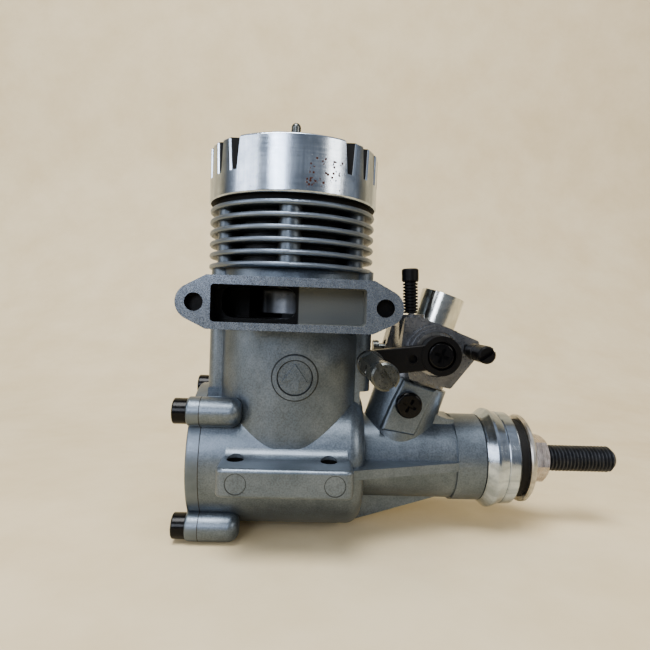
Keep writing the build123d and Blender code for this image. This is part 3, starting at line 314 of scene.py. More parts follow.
@dataclass(frozen=True)
class Turned(Finish):
    """Lathe-turned metal: fine rings across its axis and painted reflection streaks along it."""

    along: Along = Along.X
    feed_mm: float = 0.35
    streak_mm: float = 1.6
    stain: str = "#6E6A62"
    stain_share: float = 0.35
    stain_mm: float = 0.9
    ring_ratio: float = 60.0
    streak_ratio: float = 25.0

    def drawn(self, tree: Tree, point: Socket, along_mm: float, across_mm: float,
              detail: float) -> Socket:
        """Give noise that is drawn out along the axis or across it.

        Args:
            tree: The node tree to add to.
            point: Object coordinates.
            along_mm: Its size along the axis.
            across_mm: Its size across the axis.
            detail: Its detail.

        Returns:
            The noise's socket, 0 to 1.
        """
        stretch = [1 / ((along_mm if c else across_mm) * MM) for c in self.along.value]
        moved = add(tree, "ShaderNodeVectorMath", {"operation": "MULTIPLY"}, {0: point, 1: stretch})
        noise = add(tree, "ShaderNodeTexNoise", None,
                    {"Vector": moved.outputs[0], "Scale": 1.0, "Detail": detail})
        return noise.outputs[0]

    def rings(self, tree: Tree, point: Socket) -> Socket:
        """Give the tool marks' height."""
        return self.drawn(tree, point, self.feed_mm, self.ring_ratio * self.feed_mm, 3.0)

    def reflection_streaks(self, tree: Tree, point: Socket) -> Socket:
        """Give the share of painted reflection streaks, light and dark bands that run along the axis.
        """
        noise = self.drawn(tree, point, self.streak_ratio * self.streak_mm, self.streak_mm, 2.0)
        return add(tree, "ShaderNodeMapRange", None,
                   {"Value": noise, "From Min": 0.42, "From Max": 0.66}).outputs[0]

    def tint(self, tree: Tree, point: Socket) -> Socket:
        """Give the base colour with painted reflection streaks and a few dull stains.

        Args:
            tree: The node tree to add to.
            point: Object coordinates.

        Returns:
            The colour's socket.
        """
        # painted reflection: the streaks shift the colour in bands along the axis
        streaked = mixed(tree, self.reflection_streaks(tree, point), self.base(tree, point), linear(self.second))
        spots = add(tree, "ShaderNodeTexNoise", None,
                    {"Vector": point, "Scale": 1 / (self.stain_mm * MM), "Detail": 3.0,
                     "Roughness": 0.7})
        ramp = add(tree, "ShaderNodeMapRange", None,
                   {"Value": spots.outputs[0], "From Min": 0.62, "From Max": 0.74,
                    "To Max": self.stain_share})
        return mixed(tree, ramp.outputs[0], streaked, linear(self.stain))

    def build(self) -> Material:
        """Make the material."""
        material, tree, point = self.start()
        return self.close(material, self.tint(tree, point), self.rings(tree, point))


@dataclass(frozen=True)
class HeadFinish(Turned):
    """Head: a polished outer band, matt black slots and top, rust specks on one side."""

    black: str = "#070708"
    rust: str = "#32160C"
    black_roughness: float = 0.62
    band_inner: float = 19.45
    foot_z: float = 58.78
    top_z: float = 70.75
    speck_mm: float = 0.8
    cluster_mm: float = 1.6
    rusted: Zone = Zone((3.0, -22, 60.0), (10.5, -14, 66.5), 1.8)

    def build(self) -> Material:
        """Make the material.

        Returns:
            The finished material.
        """
        material, tree, point = self.start()
        band = Reach(self.band_inner, self.band_inner + 0.12).share(tree, point)
        below = Zone((-30, -30, self.foot_z), (30, 30, self.top_z), 0.1).share(tree, point)
        bright = add(tree, "ShaderNodeMath", {"operation": "MULTIPLY"}, {0: band, 1: below}).outputs[0]
        specks = add(tree, "ShaderNodeTexVoronoi", {"feature": "F1"},
                     {"Vector": point, "Scale": 1 / (self.speck_mm * MM), "Randomness": 1.0})
        dots = add(tree, "ShaderNodeMapRange", None,
                   {"Value": specks.outputs[0], "From Min": 0.42, "From Max": 0.32})
        patch = self.rusted.share(tree, point)
        choose = add(tree, "ShaderNodeTexNoise", None,
                     {"Vector": point, "Scale": 1 / (self.cluster_mm * MM), "Detail": 1.0})
        chosen = add(tree, "ShaderNodeMapRange", None,
                     {"Value": choose.outputs[0], "From Min": 0.47, "From Max": 0.53})
        rusty = add(tree, "ShaderNodeMath", {"operation": "MULTIPLY"}, {0: dots.outputs[0], 1: patch})
        rusty = add(tree, "ShaderNodeMath", {"operation": "MULTIPLY"},
                    {0: rusty.outputs[0], 1: chosen.outputs[0]})
        rusty = add(tree, "ShaderNodeMapRange", None,
                    {"Value": rusty.outputs[0], "From Min": 0.4, "From Max": 0.5})
        metal = mixed(tree, rusty.outputs[0], self.tint(tree, point), linear(self.rust))
        colour = mixed(tree, bright, linear(self.black), metal)
        rings = self.rings(tree, point)
        rough = add(tree, "ShaderNodeMapRange", None,
                    {"Value": bright, "To Min": self.black_roughness, "To Max": self.roughness})
        grit = add(tree, "ShaderNodeMapRange", None,
                   {"Value": rings, "From Min": 0.3, "From Max": 0.7, "To Min": -0.03, "To Max": 0.05})
        total = add(tree, "ShaderNodeMath", {"operation": "ADD"},
                    {0: rough.outputs[0], 1: grit.outputs[0]})
        total = add(tree, "ShaderNodeMath", {"operation": "MULTIPLY_ADD"},
                    {0: rusty.outputs[0], 1: 0.5, 2: total.outputs[0]})
        metallic = add(tree, "ShaderNodeMath", {"operation": "SUBTRACT"},
                       {0: bright, 1: rusty.outputs[0]})
        return self.close(material, colour, rings, total.outputs[0], metallic.outputs[0])


@dataclass(frozen=True)
class RingEdge:
    """The edge of a round mark on the front of the case, where painted shade lies, in millimetres."""

    centre: Point
    inner: float
    outer: float
    soft: float = 0.08


@dataclass(frozen=True)
class ScrewHole:
    """A screw hole in the case, painted dark inside as shade, in millimetres."""

    centre: Point
    along: Along
    radius: float
    half_depth: float


@dataclass(frozen=True)
class CaseFinish(Finish):
    """Bead-blasted casting with a milled exhaust flange, fin edges painted lighter, painted shade at
    the fin roots, at the round mark edges and in the screw holes, and a duct with soot and painted
    shade.
    """

    milled: str = "#7C848F"
    milled_second: str = "#747C87"
    soot_and_shade: str = "#030303"
    haze: str = "#5C5F5D"
    crease_shade: str = "#33373B"
    fin_edge: str = "#66707D"
    fin_root_shade: str = "#2C2E32"
    fins: Zone = Zone((-30, -30, 43.4), (30, 30, 58.0), 0.3)
    fin_edge_reach: Reach = Reach(18.9, 19.5)
    fin_root_shade_reach: Reach = Reach(19.0, 16.5)
    flange_face: Zone = Zone((-30, -24, 28), (32, -22.74, 44), 0.04)
    cutter_centre: Point = (-62.0, 0.0, 12.0)
    cutter_mm: float = 8.0
    duct: Zone = Zone((-15.3, -22.6, 31.8), (16.2, -4.0, 39.7), 0.06)
    duct_front: Zone = Zone((2.3, -30, 20), (40, 0, 50), 0.15)
    marks: Zone = Zone((-12, -25, -3), (14, -12, 27), 0.05)
    edges: tuple[RingEdge, ...] = (
        RingEdge((2.0, 0.0, 20.3), 3.58, 3.86),
        RingEdge((2.0, 0.0, 20.3), 4.78, 5.1),
        RingEdge((-8.9, 0.0, 0.1), 1.98, 2.14),
        RingEdge((10.9, 0.0, 0.1), 1.98, 2.14),
    )
    holes: tuple[ScrewHole, ...] = (
        ScrewHole((-18.38, -21.4, 35.8), Along.Y, 1.85, 1.34),
        ScrewHole((19.82, -21.4, 35.8), Along.Y, 1.85, 1.34),
        ScrewHole((-9.85, -18.0, 0.1), Along.Z, 1.8, 2.9),
        ScrewHole((9.85, -18.0, 0.1), Along.Z, 1.8, 2.9),
    )

    def outline(self, tree: Tree, point: Socket) -> Socket:
        """Give the painted shade that lies in the creases at the edges of the round marks on the case.

        Args:
            tree: The node tree to add to.
            point: Object coordinates.

        Returns:
            The grime's share.
        """
        near = self.marks.share(tree, point)
        total = None
        for edge in self.edges:
            inner = Reach(edge.inner, edge.inner + edge.soft, Along.Y, edge.centre).share(tree, point)
            outer = Reach(edge.outer + edge.soft, edge.outer, Along.Y, edge.centre).share(tree, point)
            ring = add(tree, "ShaderNodeMath", {"operation": "MULTIPLY"},
                       {0: inner, 1: outer}).outputs[0]
            total = ring if total is None else add(
                tree, "ShaderNodeMath", {"operation": "MAXIMUM"}, {0: total, 1: ring}).outputs[0]
        return add(tree, "ShaderNodeMath", {"operation": "MULTIPLY"}, {0: total, 1: near}).outputs[0]

    def hole_shade(self, tree: Tree, point: Socket) -> Socket:
        """Give the painted shade inside the screw holes.

        Args:
            tree: The node tree to add to.
            point: Object coordinates.

        Returns:
            The painted shade's share.
        """
        total = None
        for hole in self.holes:
            half = [hole.half_depth if c else hole.radius + 0.3 for c in hole.along.value]
            low = tuple(c - h for c, h in zip(hole.centre, half))
            high = tuple(c + h for c, h in zip(hole.centre, half))
            wall = Reach(hole.radius + 0.12, hole.radius + 0.03, hole.along, hole.centre)
            inside = wall.share(tree, point)
            box = Zone(low, high, 0.03).share(tree, point)
            here = add(tree, "ShaderNodeMath", {"operation": "MULTIPLY"},
                       {0: inside, 1: box}).outputs[0]
            total = here if total is None else add(
                tree, "ShaderNodeMath", {"operation": "MAXIMUM"}, {0: total, 1: here}).outputs[0]
        return total

    def build(self) -> Material:
        """Make the material.

        Returns:
            The finished material.
        """
        material, tree, point = self.start()
        grain = self.grain(tree, point)
        colour = self.base(tree, point)
        speckle = add(tree, "ShaderNodeMapRange", None,
                      {"Value": grain, "From Min": 0.36, "From Max": 0.62,
                       "To Min": 0.82, "To Max": 1.12})
        colour = add(tree, "ShaderNodeMix", {"data_type": "RGBA", "blend_type": "MULTIPLY"},
                     {0: 1.0, 6: colour, 7: speckle.outputs[0]}).outputs[2]
        # fins: painted shade at the roots between the fins, and the edges painted lighter
        fins = self.fins.share(tree, point)
        edge = add(tree, "ShaderNodeMath", {"operation": "MULTIPLY"},
                   {0: fins, 1: self.fin_edge_reach.share(tree, point)}).outputs[0]
        root = add(tree, "ShaderNodeMath", {"operation": "MULTIPLY"},
                   {0: fins, 1: self.fin_root_shade_reach.share(tree, point)}).outputs[0]
        # painted shade deep between the fins
        colour = mixed(tree, root, colour, linear(self.fin_root_shade))
        colour = mixed(tree, edge, colour, linear(self.fin_edge))
        # milled face of the exhaust flange, with wide cutter arcs
        face = self.flange_face.share(tree, point)
        turned = add(tree, "ShaderNodeMapping", None,
                     {"Vector": point, "Location": [-c * MM for c in self.cutter_centre]})
        arcs = add(tree, "ShaderNodeTexWave", {"wave_type": "RINGS", "rings_direction": "Y"},
                   {"Vector": turned.outputs[0], "Scale": 1 / (self.cutter_mm * MM),
                    "Distortion": 2.5, "Detail": 4.0, "Detail Scale": 2.0})
        milled = mixed(tree, arcs.outputs[1], linear(self.milled), linear(self.milled_second))
        colour = mixed(tree, face, colour, milled)
        # inside of the exhaust duct: soot and painted shade at the rear, haze at the front
        duct = self.duct.share(tree, point)
        front = self.duct_front.share(tree, point)
        duct_dark = mixed(tree, front, linear(self.soot_and_shade), linear(self.haze))
        colour = mixed(tree, duct, colour, duct_dark)
        # painted shade in the creases along the edges of the round marks
        colour = mixed(tree, self.outline(tree, point), colour, linear(self.crease_shade))
        dark = self.hole_shade(tree, point)
        # painted shade inside the screw holes, in the near black soot and shade colour
        colour = mixed(tree, dark, colour, linear(self.soot_and_shade))
        half_spread = self.roughness_spread / 2
        rough = add(tree, "ShaderNodeMapRange", None,
                    {"Value": grain, "From Min": 0.3, "From Max": 0.7,
                     "To Min": self.roughness - half_spread, "To Max": self.roughness + half_spread})
        smooth = add(tree, "ShaderNodeMath", {"operation": "MULTIPLY_ADD"},
                     {0: face, 1: -0.12, 2: rough.outputs[0]})
        # less metallic where the soot and painted shade lie
        soot_and_shade_share = add(tree, "ShaderNodeMath", {"operation": "MAXIMUM"}, {0: duct, 1: dark})
        soot_and_shade_dull = add(tree, "ShaderNodeMath", {"operation": "MULTIPLY"}, {0: soot_and_shade_share.outputs[0], 1: 0.8})
        metal = add(tree, "ShaderNodeMath", {"operation": "SUBTRACT"},
                    {0: self.metallic, 1: soot_and_shade_dull.outputs[0]})
        faint = add(tree, "ShaderNodeMapRange", None,
                    {"Value": arcs.outputs[1], "To Min": 0.47, "To Max": 0.53})
        height = add(tree, "ShaderNodeMix", {"data_type": "FLOAT"},
                     {0: face, 2: grain, 3: faint.outputs[0]}).outputs[0]
        return self.close(material, colour, height, smooth.outputs[0], metal.outputs[0])


@dataclass(frozen=True)
class SootAndShadeTurned(Turned):
    """Turned metal under burnt oil and painted shade, bare only where other metal rubs it."""

    bare: Zone | Reach = Zone((-1, -1, -1), (1, 1, 1))
    soot_and_shade: str = "#040404"

    def build(self) -> Material:
        """Make the material.

        Returns:
            The finished material.
        """
        material, tree, point = self.start()
        bare = self.bare.share(tree, point)
        # soot and painted shade: near black wherever the metal is not bare
        colour = mixed(tree, bare, linear(self.soot_and_shade), self.tint(tree, point))
        rings = self.rings(tree, point)
        rough = add(tree, "ShaderNodeMapRange", None,
                    {"Value": bare, "To Min": 0.6, "To Max": self.roughness})
        return self.close(material, colour, rings, rough.outputs[0], bare)


# ---- Finishes of this engine, each named for the real material ----

# die-cast aluminium, bead-blasted: soft grey sheen with a fine speckle; the grit is finer
# than it can show, so it is drawn at 0.35 mm
CAST_CASE = CaseFinish(
    "cast_aluminium_case", "#666F79", "#555E67", metallic=0.88, roughness=0.39, grain_mm=0.35,
    mottle_mm=7.0, bump=0.5, depth_mm=0.05, roughness_spread=0.14, specular=0.15)
CAST_PLAIN = Finish(
    "cast_aluminium_plain", "#666F79", "#555E67", metallic=0.88, roughness=0.39, grain_mm=0.35,
    mottle_mm=7.0, bump=0.5, depth_mm=0.05, roughness_spread=0.14)
# bar aluminium, turned and polished: bright, with long painted reflection streaks
HEAD_BAND = HeadFinish(
    "head_turned_and_blacked", "#D0DCEA", "#97A2B0", metallic=1.0, roughness=0.19, mottle_mm=6.0,
    bump=0.2, depth_mm=0.012, specular=0.1, along=Along.Z, feed_mm=0.25, streak_mm=2.0,
    stain="#7C736A")
POLISHED_X = Turned(
    "polished_aluminium_x", "#BFCAD8", "#929DAB", metallic=1.0, roughness=0.2, mottle_mm=6.0, bump=0.3,
    depth_mm=0.012, feed_mm=0.3)
POLISHED_CUP = Turned(
    "polished_aluminium_cup", "#E6E8E4", "#BDBFB8", metallic=1.0, roughness=0.18, bump=0.2,
    depth_mm=0.01, along=Along.Z, feed_mm=0.3)
# steel, ground or turned, with light brown bloom
GROUND_STEEL = Turned(
    "ground_steel", "#C9C6C0", "#9D9A94", metallic=1.0, roughness=0.3, mottle_mm=3.0, bump=0.3,
    depth_mm=0.012, feed_mm=0.3, stain="#7A5B45", stain_share=0.5)
NUT_STEEL = Turned(
    "nut_steel", "#D3CCC9", "#958C87", metallic=1.0, roughness=0.28, mottle_mm=2.0, bump=0.3,
    depth_mm=0.012, feed_mm=0.4, stain="#5C3424", stain_share=0.95)
# steel blacked by hot oxide: near black, and dark grey where a thread is rubbed
BLACK_OXIDE = Finish(
    "black_oxide_steel", "#040405", "#09090A", metallic=0.0, roughness=0.2, grain_mm=0.25,
    mottle_mm=2.0, bump=0.3, depth_mm=0.02, specular=0.12)
THREAD_STEEL = Finish(
    "black_oxide_thread", "#2C2E33", "#43464C", metallic=0.9, roughness=0.36, grain_mm=0.25,
    mottle_mm=1.6, bump=0.3, depth_mm=0.02)
# nickel over a casting or turned steel: mid grey, gone dull with fuel
CARB_NICKEL = Finish(
    "nickel_casting", "#74767A", "#54565A", metallic=0.92, roughness=0.32, grain_mm=0.5, mottle_mm=4.0,
    bump=0.35, roughness_spread=0.18)
NICKEL_STEEL = Finish(
    "nickel_plated_steel", "#5A5D5C", "#3C3E3C", metallic=1.0, roughness=0.32, mottle_mm=1.8,
    depth_mm=0.02, roughness_spread=0.16)
# glass-filled nylon, moulded: black with a low sheen
BLACK_NYLON = Finish(
    "black_nylon", "#030304", "#070708", metallic=0.0, roughness=0.4, grain_mm=0.25, mottle_mm=2.5,
    depth_mm=0.02, roughness_spread=0.12, specular=0.12)
# piston alloy and liner steel, turned: black with burnt oil and painted shade, bright only where they
# rub
PISTON_ALLOY = SootAndShadeTurned(
    "piston_alloy", "#A4A9B0", "#74787E", metallic=1.0, roughness=0.3, mottle_mm=4.0, bump=0.3,
    depth_mm=0.015, specular=0.1, along=Along.Z, feed_mm=0.3, stain="#3A3733", stain_share=0.5,
    bare=Zone((-5.4, -12, 10), (1.4, 12, 38.6), 0.7))
LINER_STEEL = SootAndShadeTurned(
    "liner_steel", "#A9A9A8", "#6C6B69", metallic=1.0, roughness=0.35, mottle_mm=4.0, bump=0.3,
    depth_mm=0.015, specular=0.1, along=Along.Z, feed_mm=0.3, stain="#3A3733", stain_share=0.5,
    bare=Reach(10.9, 10.6))
# forged aluminium: dull even grey
ROD_ALLOY = Finish(
    "forged_aluminium", "#A0A3A6", "#83868A", metallic=1.0, roughness=0.4, grain_mm=0.4, mottle_mm=3.0,
    bump=0.3, depth_mm=0.02)
# bearing bronze, bored and reamed: warm brown with a soft shine
BUSH_BRONZE = Finish(
    "bearing_bronze", "#A8793E", "#8A6030", metallic=1.0, roughness=0.35, mottle_mm=2.0, depth_mm=0.02)
# brass bar, turned: yellow with fine rings and brown tarnish
NIPPLE_BRASS = Turned(
    "turned_brass", "#C9A55C", "#A98745", metallic=1.0, roughness=0.28, mottle_mm=2.0, depth_mm=0.01,
    along=Along.Y, feed_mm=0.25, stain="#6C5430")
# soft copper sheet, punched: smooth orange-brown
SHIM_COPPER = Finish(
    "copper_shim", "#B8734E", "#8F563A", metallic=1.0, roughness=0.36, mottle_mm=2.0, bump=0.2,
    depth_mm=0.01)
# steel strip, pressed: dull straw grey
CAGE_STEEL = Finish(
    "pressed_steel", "#8C8472", "#6E6858", metallic=1.0, roughness=0.4, mottle_mm=2.0, bump=0.2,
    depth_mm=0.01)
# oiled paper and vulcanised fibre, cut from sheet: dark and matt
GASKET_PAPER = Finish(
    "oiled_paper", "#1D1A17", "#141210", metallic=0.0, roughness=0.8, grain_mm=0.2, mottle_mm=1.5,
    bump=0.4)
BLACK_FIBRE = Finish(
    "black_fibre", "#070707", "#0D0D0D", metallic=0.0, roughness=0.6, grain_mm=0.2, mottle_mm=1.5,
    bump=0.4, specular=0.15)
# nitrile rubber, moulded: black with hardly a shine
RUBBER = Finish(
    "nitrile_rubber", "#0C0C0C", "#161616", metallic=0.0, roughness=0.55, mottle_mm=2.0, bump=0.2,
    depth_mm=0.02)
# fired ceramic: off-white with a faint shine
CERAMIC = Finish(
    "plug_ceramic", "#D9CFBD", "#C2B7A3", metallic=0.0, roughness=0.4, mottle_mm=1.5, bump=0.15,
    depth_mm=0.01)
# platinum wire, drawn: smooth white metal
PLATINUM = Finish(
    "platinum_wire", "#BFBDB8", "#9F9D98", metallic=1.0, roughness=0.25, grain_mm=0.2, mottle_mm=1.0,
    bump=0.1, depth_mm=0.01)
# kraft paper, the sheet under and behind the engine: matt light brown
PAPER = Finish(
    "kraft_paper", "#CBBB98", "#C1AF89", metallic=0.0, roughness=0.85, grain_mm=0.6, mottle_mm=30.0,
    depth_mm=0.05, roughness_spread=0.05)

FINISH_NODES: dict[Finish, tuple[str, ...]] = {
    CAST_CASE: ("crankcase",),
    CAST_PLAIN: ("backplate",),
    GASKET_PAPER: ("backplate_gasket",),
    BLACK_OXIDE: ("backplate_screws", "head_screws", "throttle_arm_screw", "carb_clamp_screw"),
    LINER_STEEL: ("cylinder_liner",),
    HEAD_BAND: ("cylinder_head",),
    SHIM_COPPER: ("head_gasket", "glow_plug_washer"),
    NICKEL_STEEL: (
        "glow_plug_body", "glow_plug_post", "throttle_stop_screw", "connector_body",
        "connector_screw",
    ),
    CERAMIC: ("glow_plug_insulator",),
    PLATINUM: ("glow_plug_coil",),
    PISTON_ALLOY: ("piston",),
    GROUND_STEEL: (
        "wrist_pin", "wrist_pin_clips", "crankpin", "drive_key", "rear_bearing_outer_race",
        "rear_bearing_inner_race", "rear_bearing_balls", "front_bearing_outer_race",
        "front_bearing_inner_race", "front_bearing_balls", "prop_washer", "throttle_barrel",
        "needle_stem",
    ),
    ROD_ALLOY: ("connecting_rod",),
    BUSH_BRONZE: ("small_end_bush", "big_end_bush"),
    CAGE_STEEL: ("rear_bearing_cage", "front_bearing_cage"),
    POLISHED_X: ("drive_washer",),
    BLACK_FIBRE: ("drive_spacer",),
    NUT_STEEL: ("prop_nut",),
    CARB_NICKEL: ("carb_body",),
    POLISHED_CUP: ("intake_cup",),
    RUBBER: ("carb_o_ring",),
    BLACK_NYLON: ("throttle_arm", "connector_retainer"),
    NIPPLE_BRASS: ("fuel_nipple", "spray_bar"),
}


class Paint:
    """Builds each finish once and hands it out."""

    def __init__(self) -> None:
        """Start with no material built."""
        self.made: dict[str, Material] = {}

    def of(self, finish: Finish) -> Material:
        """Give the material of a finish, built on first use.

        Args:
            finish: The finish wanted.

        Returns:
            Its material.
        """
        if finish.name not in self.made:
            self.made[finish.name] = finish.build()
        return self.made[finish.name]

    def dress(self, piece: Piece, finish: Finish) -> None:
        """Put a finish on a piece in place of what it had.

        Args:
            piece: The mesh object.
            finish: The finish wanted.
        """
        piece.data.materials.clear()
        piece.data.materials.append(self.of(finish))


# ---- Modelling helpers ----


def only(piece: Piece) -> None:
    """Select one object alone and make it active.

    Args:
        piece: The object wanted.
    """
    bpy.ops.object.select_all(action="DESELECT")
    piece.select_set(True)
    bpy.context.view_layer.objects.active = piece


def placed(piece: Piece, origin: Vector, axis: Vector) -> Piece:
    """Turn a piece's own Z to an axis, move it, and leave the place in its mesh.

    Args:
        piece: Object modelled up its own Z.
        origin: Where its origin goes, in metres.
        axis: Direction its Z takes.

    Returns:
        The same object.
    """
    piece.matrix_world = Matrix.Translation(origin) @ axis.to_track_quat("Z", "Y").to_matrix().to_4x4()
    only(piece)
    bpy.ops.object.transform_apply()
    return piece


def turned_part(name: str, profile: list[tuple[float, float]], sides: int) -> Piece:
    """Model a solid of revolution by extruding a disc up its axis and resizing it at each step.

    Args:
        name: Name of the object.
        profile: Height and radius at each step, in millimetres, from the base up.
        sides: Number of sides.

    Returns:
        The object, standing at the origin along Z.
    """
    bpy.ops.object.select_all(action="DESELECT")
    height, radius = profile[0]
    bpy.ops.mesh.primitive_circle_add(vertices=sides, radius=radius * MM, fill_type="NGON",
                                      location=(0, 0, height * MM))
    piece = bpy.context.active_object
    piece.name = piece.data.name = name
    bpy.ops.object.transform_apply()
    bpy.ops.object.mode_set(mode="EDIT")
    bpy.ops.mesh.select_all(action="SELECT")
    for next_height, next_radius in profile[1:]:
        bpy.ops.mesh.extrude_region_move(
            TRANSFORM_OT_translate={"value": (0, 0, (next_height - height) * MM)})
        ratio = next_radius / radius
        bpy.ops.transform.resize(value=(ratio, ratio, 1.0), center_override=(0, 0, next_height * MM))
        height, radius = next_height, next_radius
    bpy.ops.mesh.select_all(action="SELECT")
    bpy.ops.mesh.normals_make_consistent(inside=False)
    bpy.ops.object.mode_set(mode="OBJECT")
    return piece


def knurl(piece: Piece, low: float, high: float, ratio: float) -> None:
    """Press straight grooves into a turned part between two heights.

    Args:
        piece: Turned part standing along Z.
        low: Lowest height, in millimetres.
        high: Highest height, in millimetres.
        ratio: Radius at the grooves over the radius at the crests.
    """
    vertices = piece.data.vertices
    foot_z = vertices[0].co.z
    side_count = len([v for v in vertices if abs(v.co.z - foot_z) < SNAP])
    side_angle = math.tau / side_count
    for vertex in vertices:
        vertex.select = False
        in_band = low * MM - WELD <= vertex.co.z <= high * MM + WELD
        if in_band and vertex.co.xy.length > WELD:
            place = round(math.atan2(vertex.co.y, vertex.co.x) / side_angle)
            vertex.select = place % 2 == 0
    only(piece)
    bpy.ops.object.mode_set(mode="EDIT")
    bpy.ops.transform.resize(value=(ratio, ratio, 1.0), center_override=(0, 0, 0))
    bpy.ops.object.mode_set(mode="OBJECT")


def cut(piece: Piece, tool: Piece, operation: str = "DIFFERENCE") -> None:
    """Cut one piece by another, apply it and remove the tool.

    Args:
        piece: The object that stays.
        tool: The cutting object.
        operation: DIFFERENCE or INTERSECT.
    """
    only(piece)
    modifier = piece.modifiers.new("cut", "BOOLEAN")
    modifier.object = tool
    modifier.operation = operation
    modifier.solver = "EXACT"
    bpy.ops.object.modifier_apply(modifier=modifier.name)
    bpy.data.objects.remove(tool)


def eased(piece: Piece, width: float, angle: float = 35.0) -> None:
    """Break a piece's sharp edges with a small bevel and shade it by angle.

    Args:
        piece: The object.
        width: Bevel width in millimetres, or 0 for none.
        angle: Angle above which an edge counts as sharp, in degrees.
    """
    only(piece)
    if width:
        modifier = piece.modifiers.new("ease", "BEVEL")
        modifier.width = width * MM
        modifier.segments = 2
        modifier.limit_method = "ANGLE"
        modifier.angle_limit = math.radians(angle)
        bpy.ops.object.modifier_apply(modifier=modifier.name)
    bpy.ops.object.shade_smooth_by_angle(angle=math.radians(angle))


def slot_cutter(width: float, depth: float, length: float, top: float, turn: float) -> Piece:
    """Make the block that cuts a screwdriver slot into an end face.

    Args:
        width: Slot width, in millimetres.
        depth: Slot depth, in millimetres.
        length: Slot length, in millimetres.
        top: Height of the end face, in millimetres.
        turn: Turn about the axis, in degrees.

    Returns:
        The cutting block.
    """
    bpy.ops.object.select_all(action="DESELECT")
    bpy.ops.mesh.primitive_cube_add(size=1.0, location=(0, 0, top * MM),
                                    rotation=(0, 0, math.radians(turn)))
    block = bpy.context.active_object
    block.scale = (length * MM, width * MM, 2 * depth * MM)
    bpy.ops.object.transform_apply()
    return block


# ---- Sub-assemblies ----


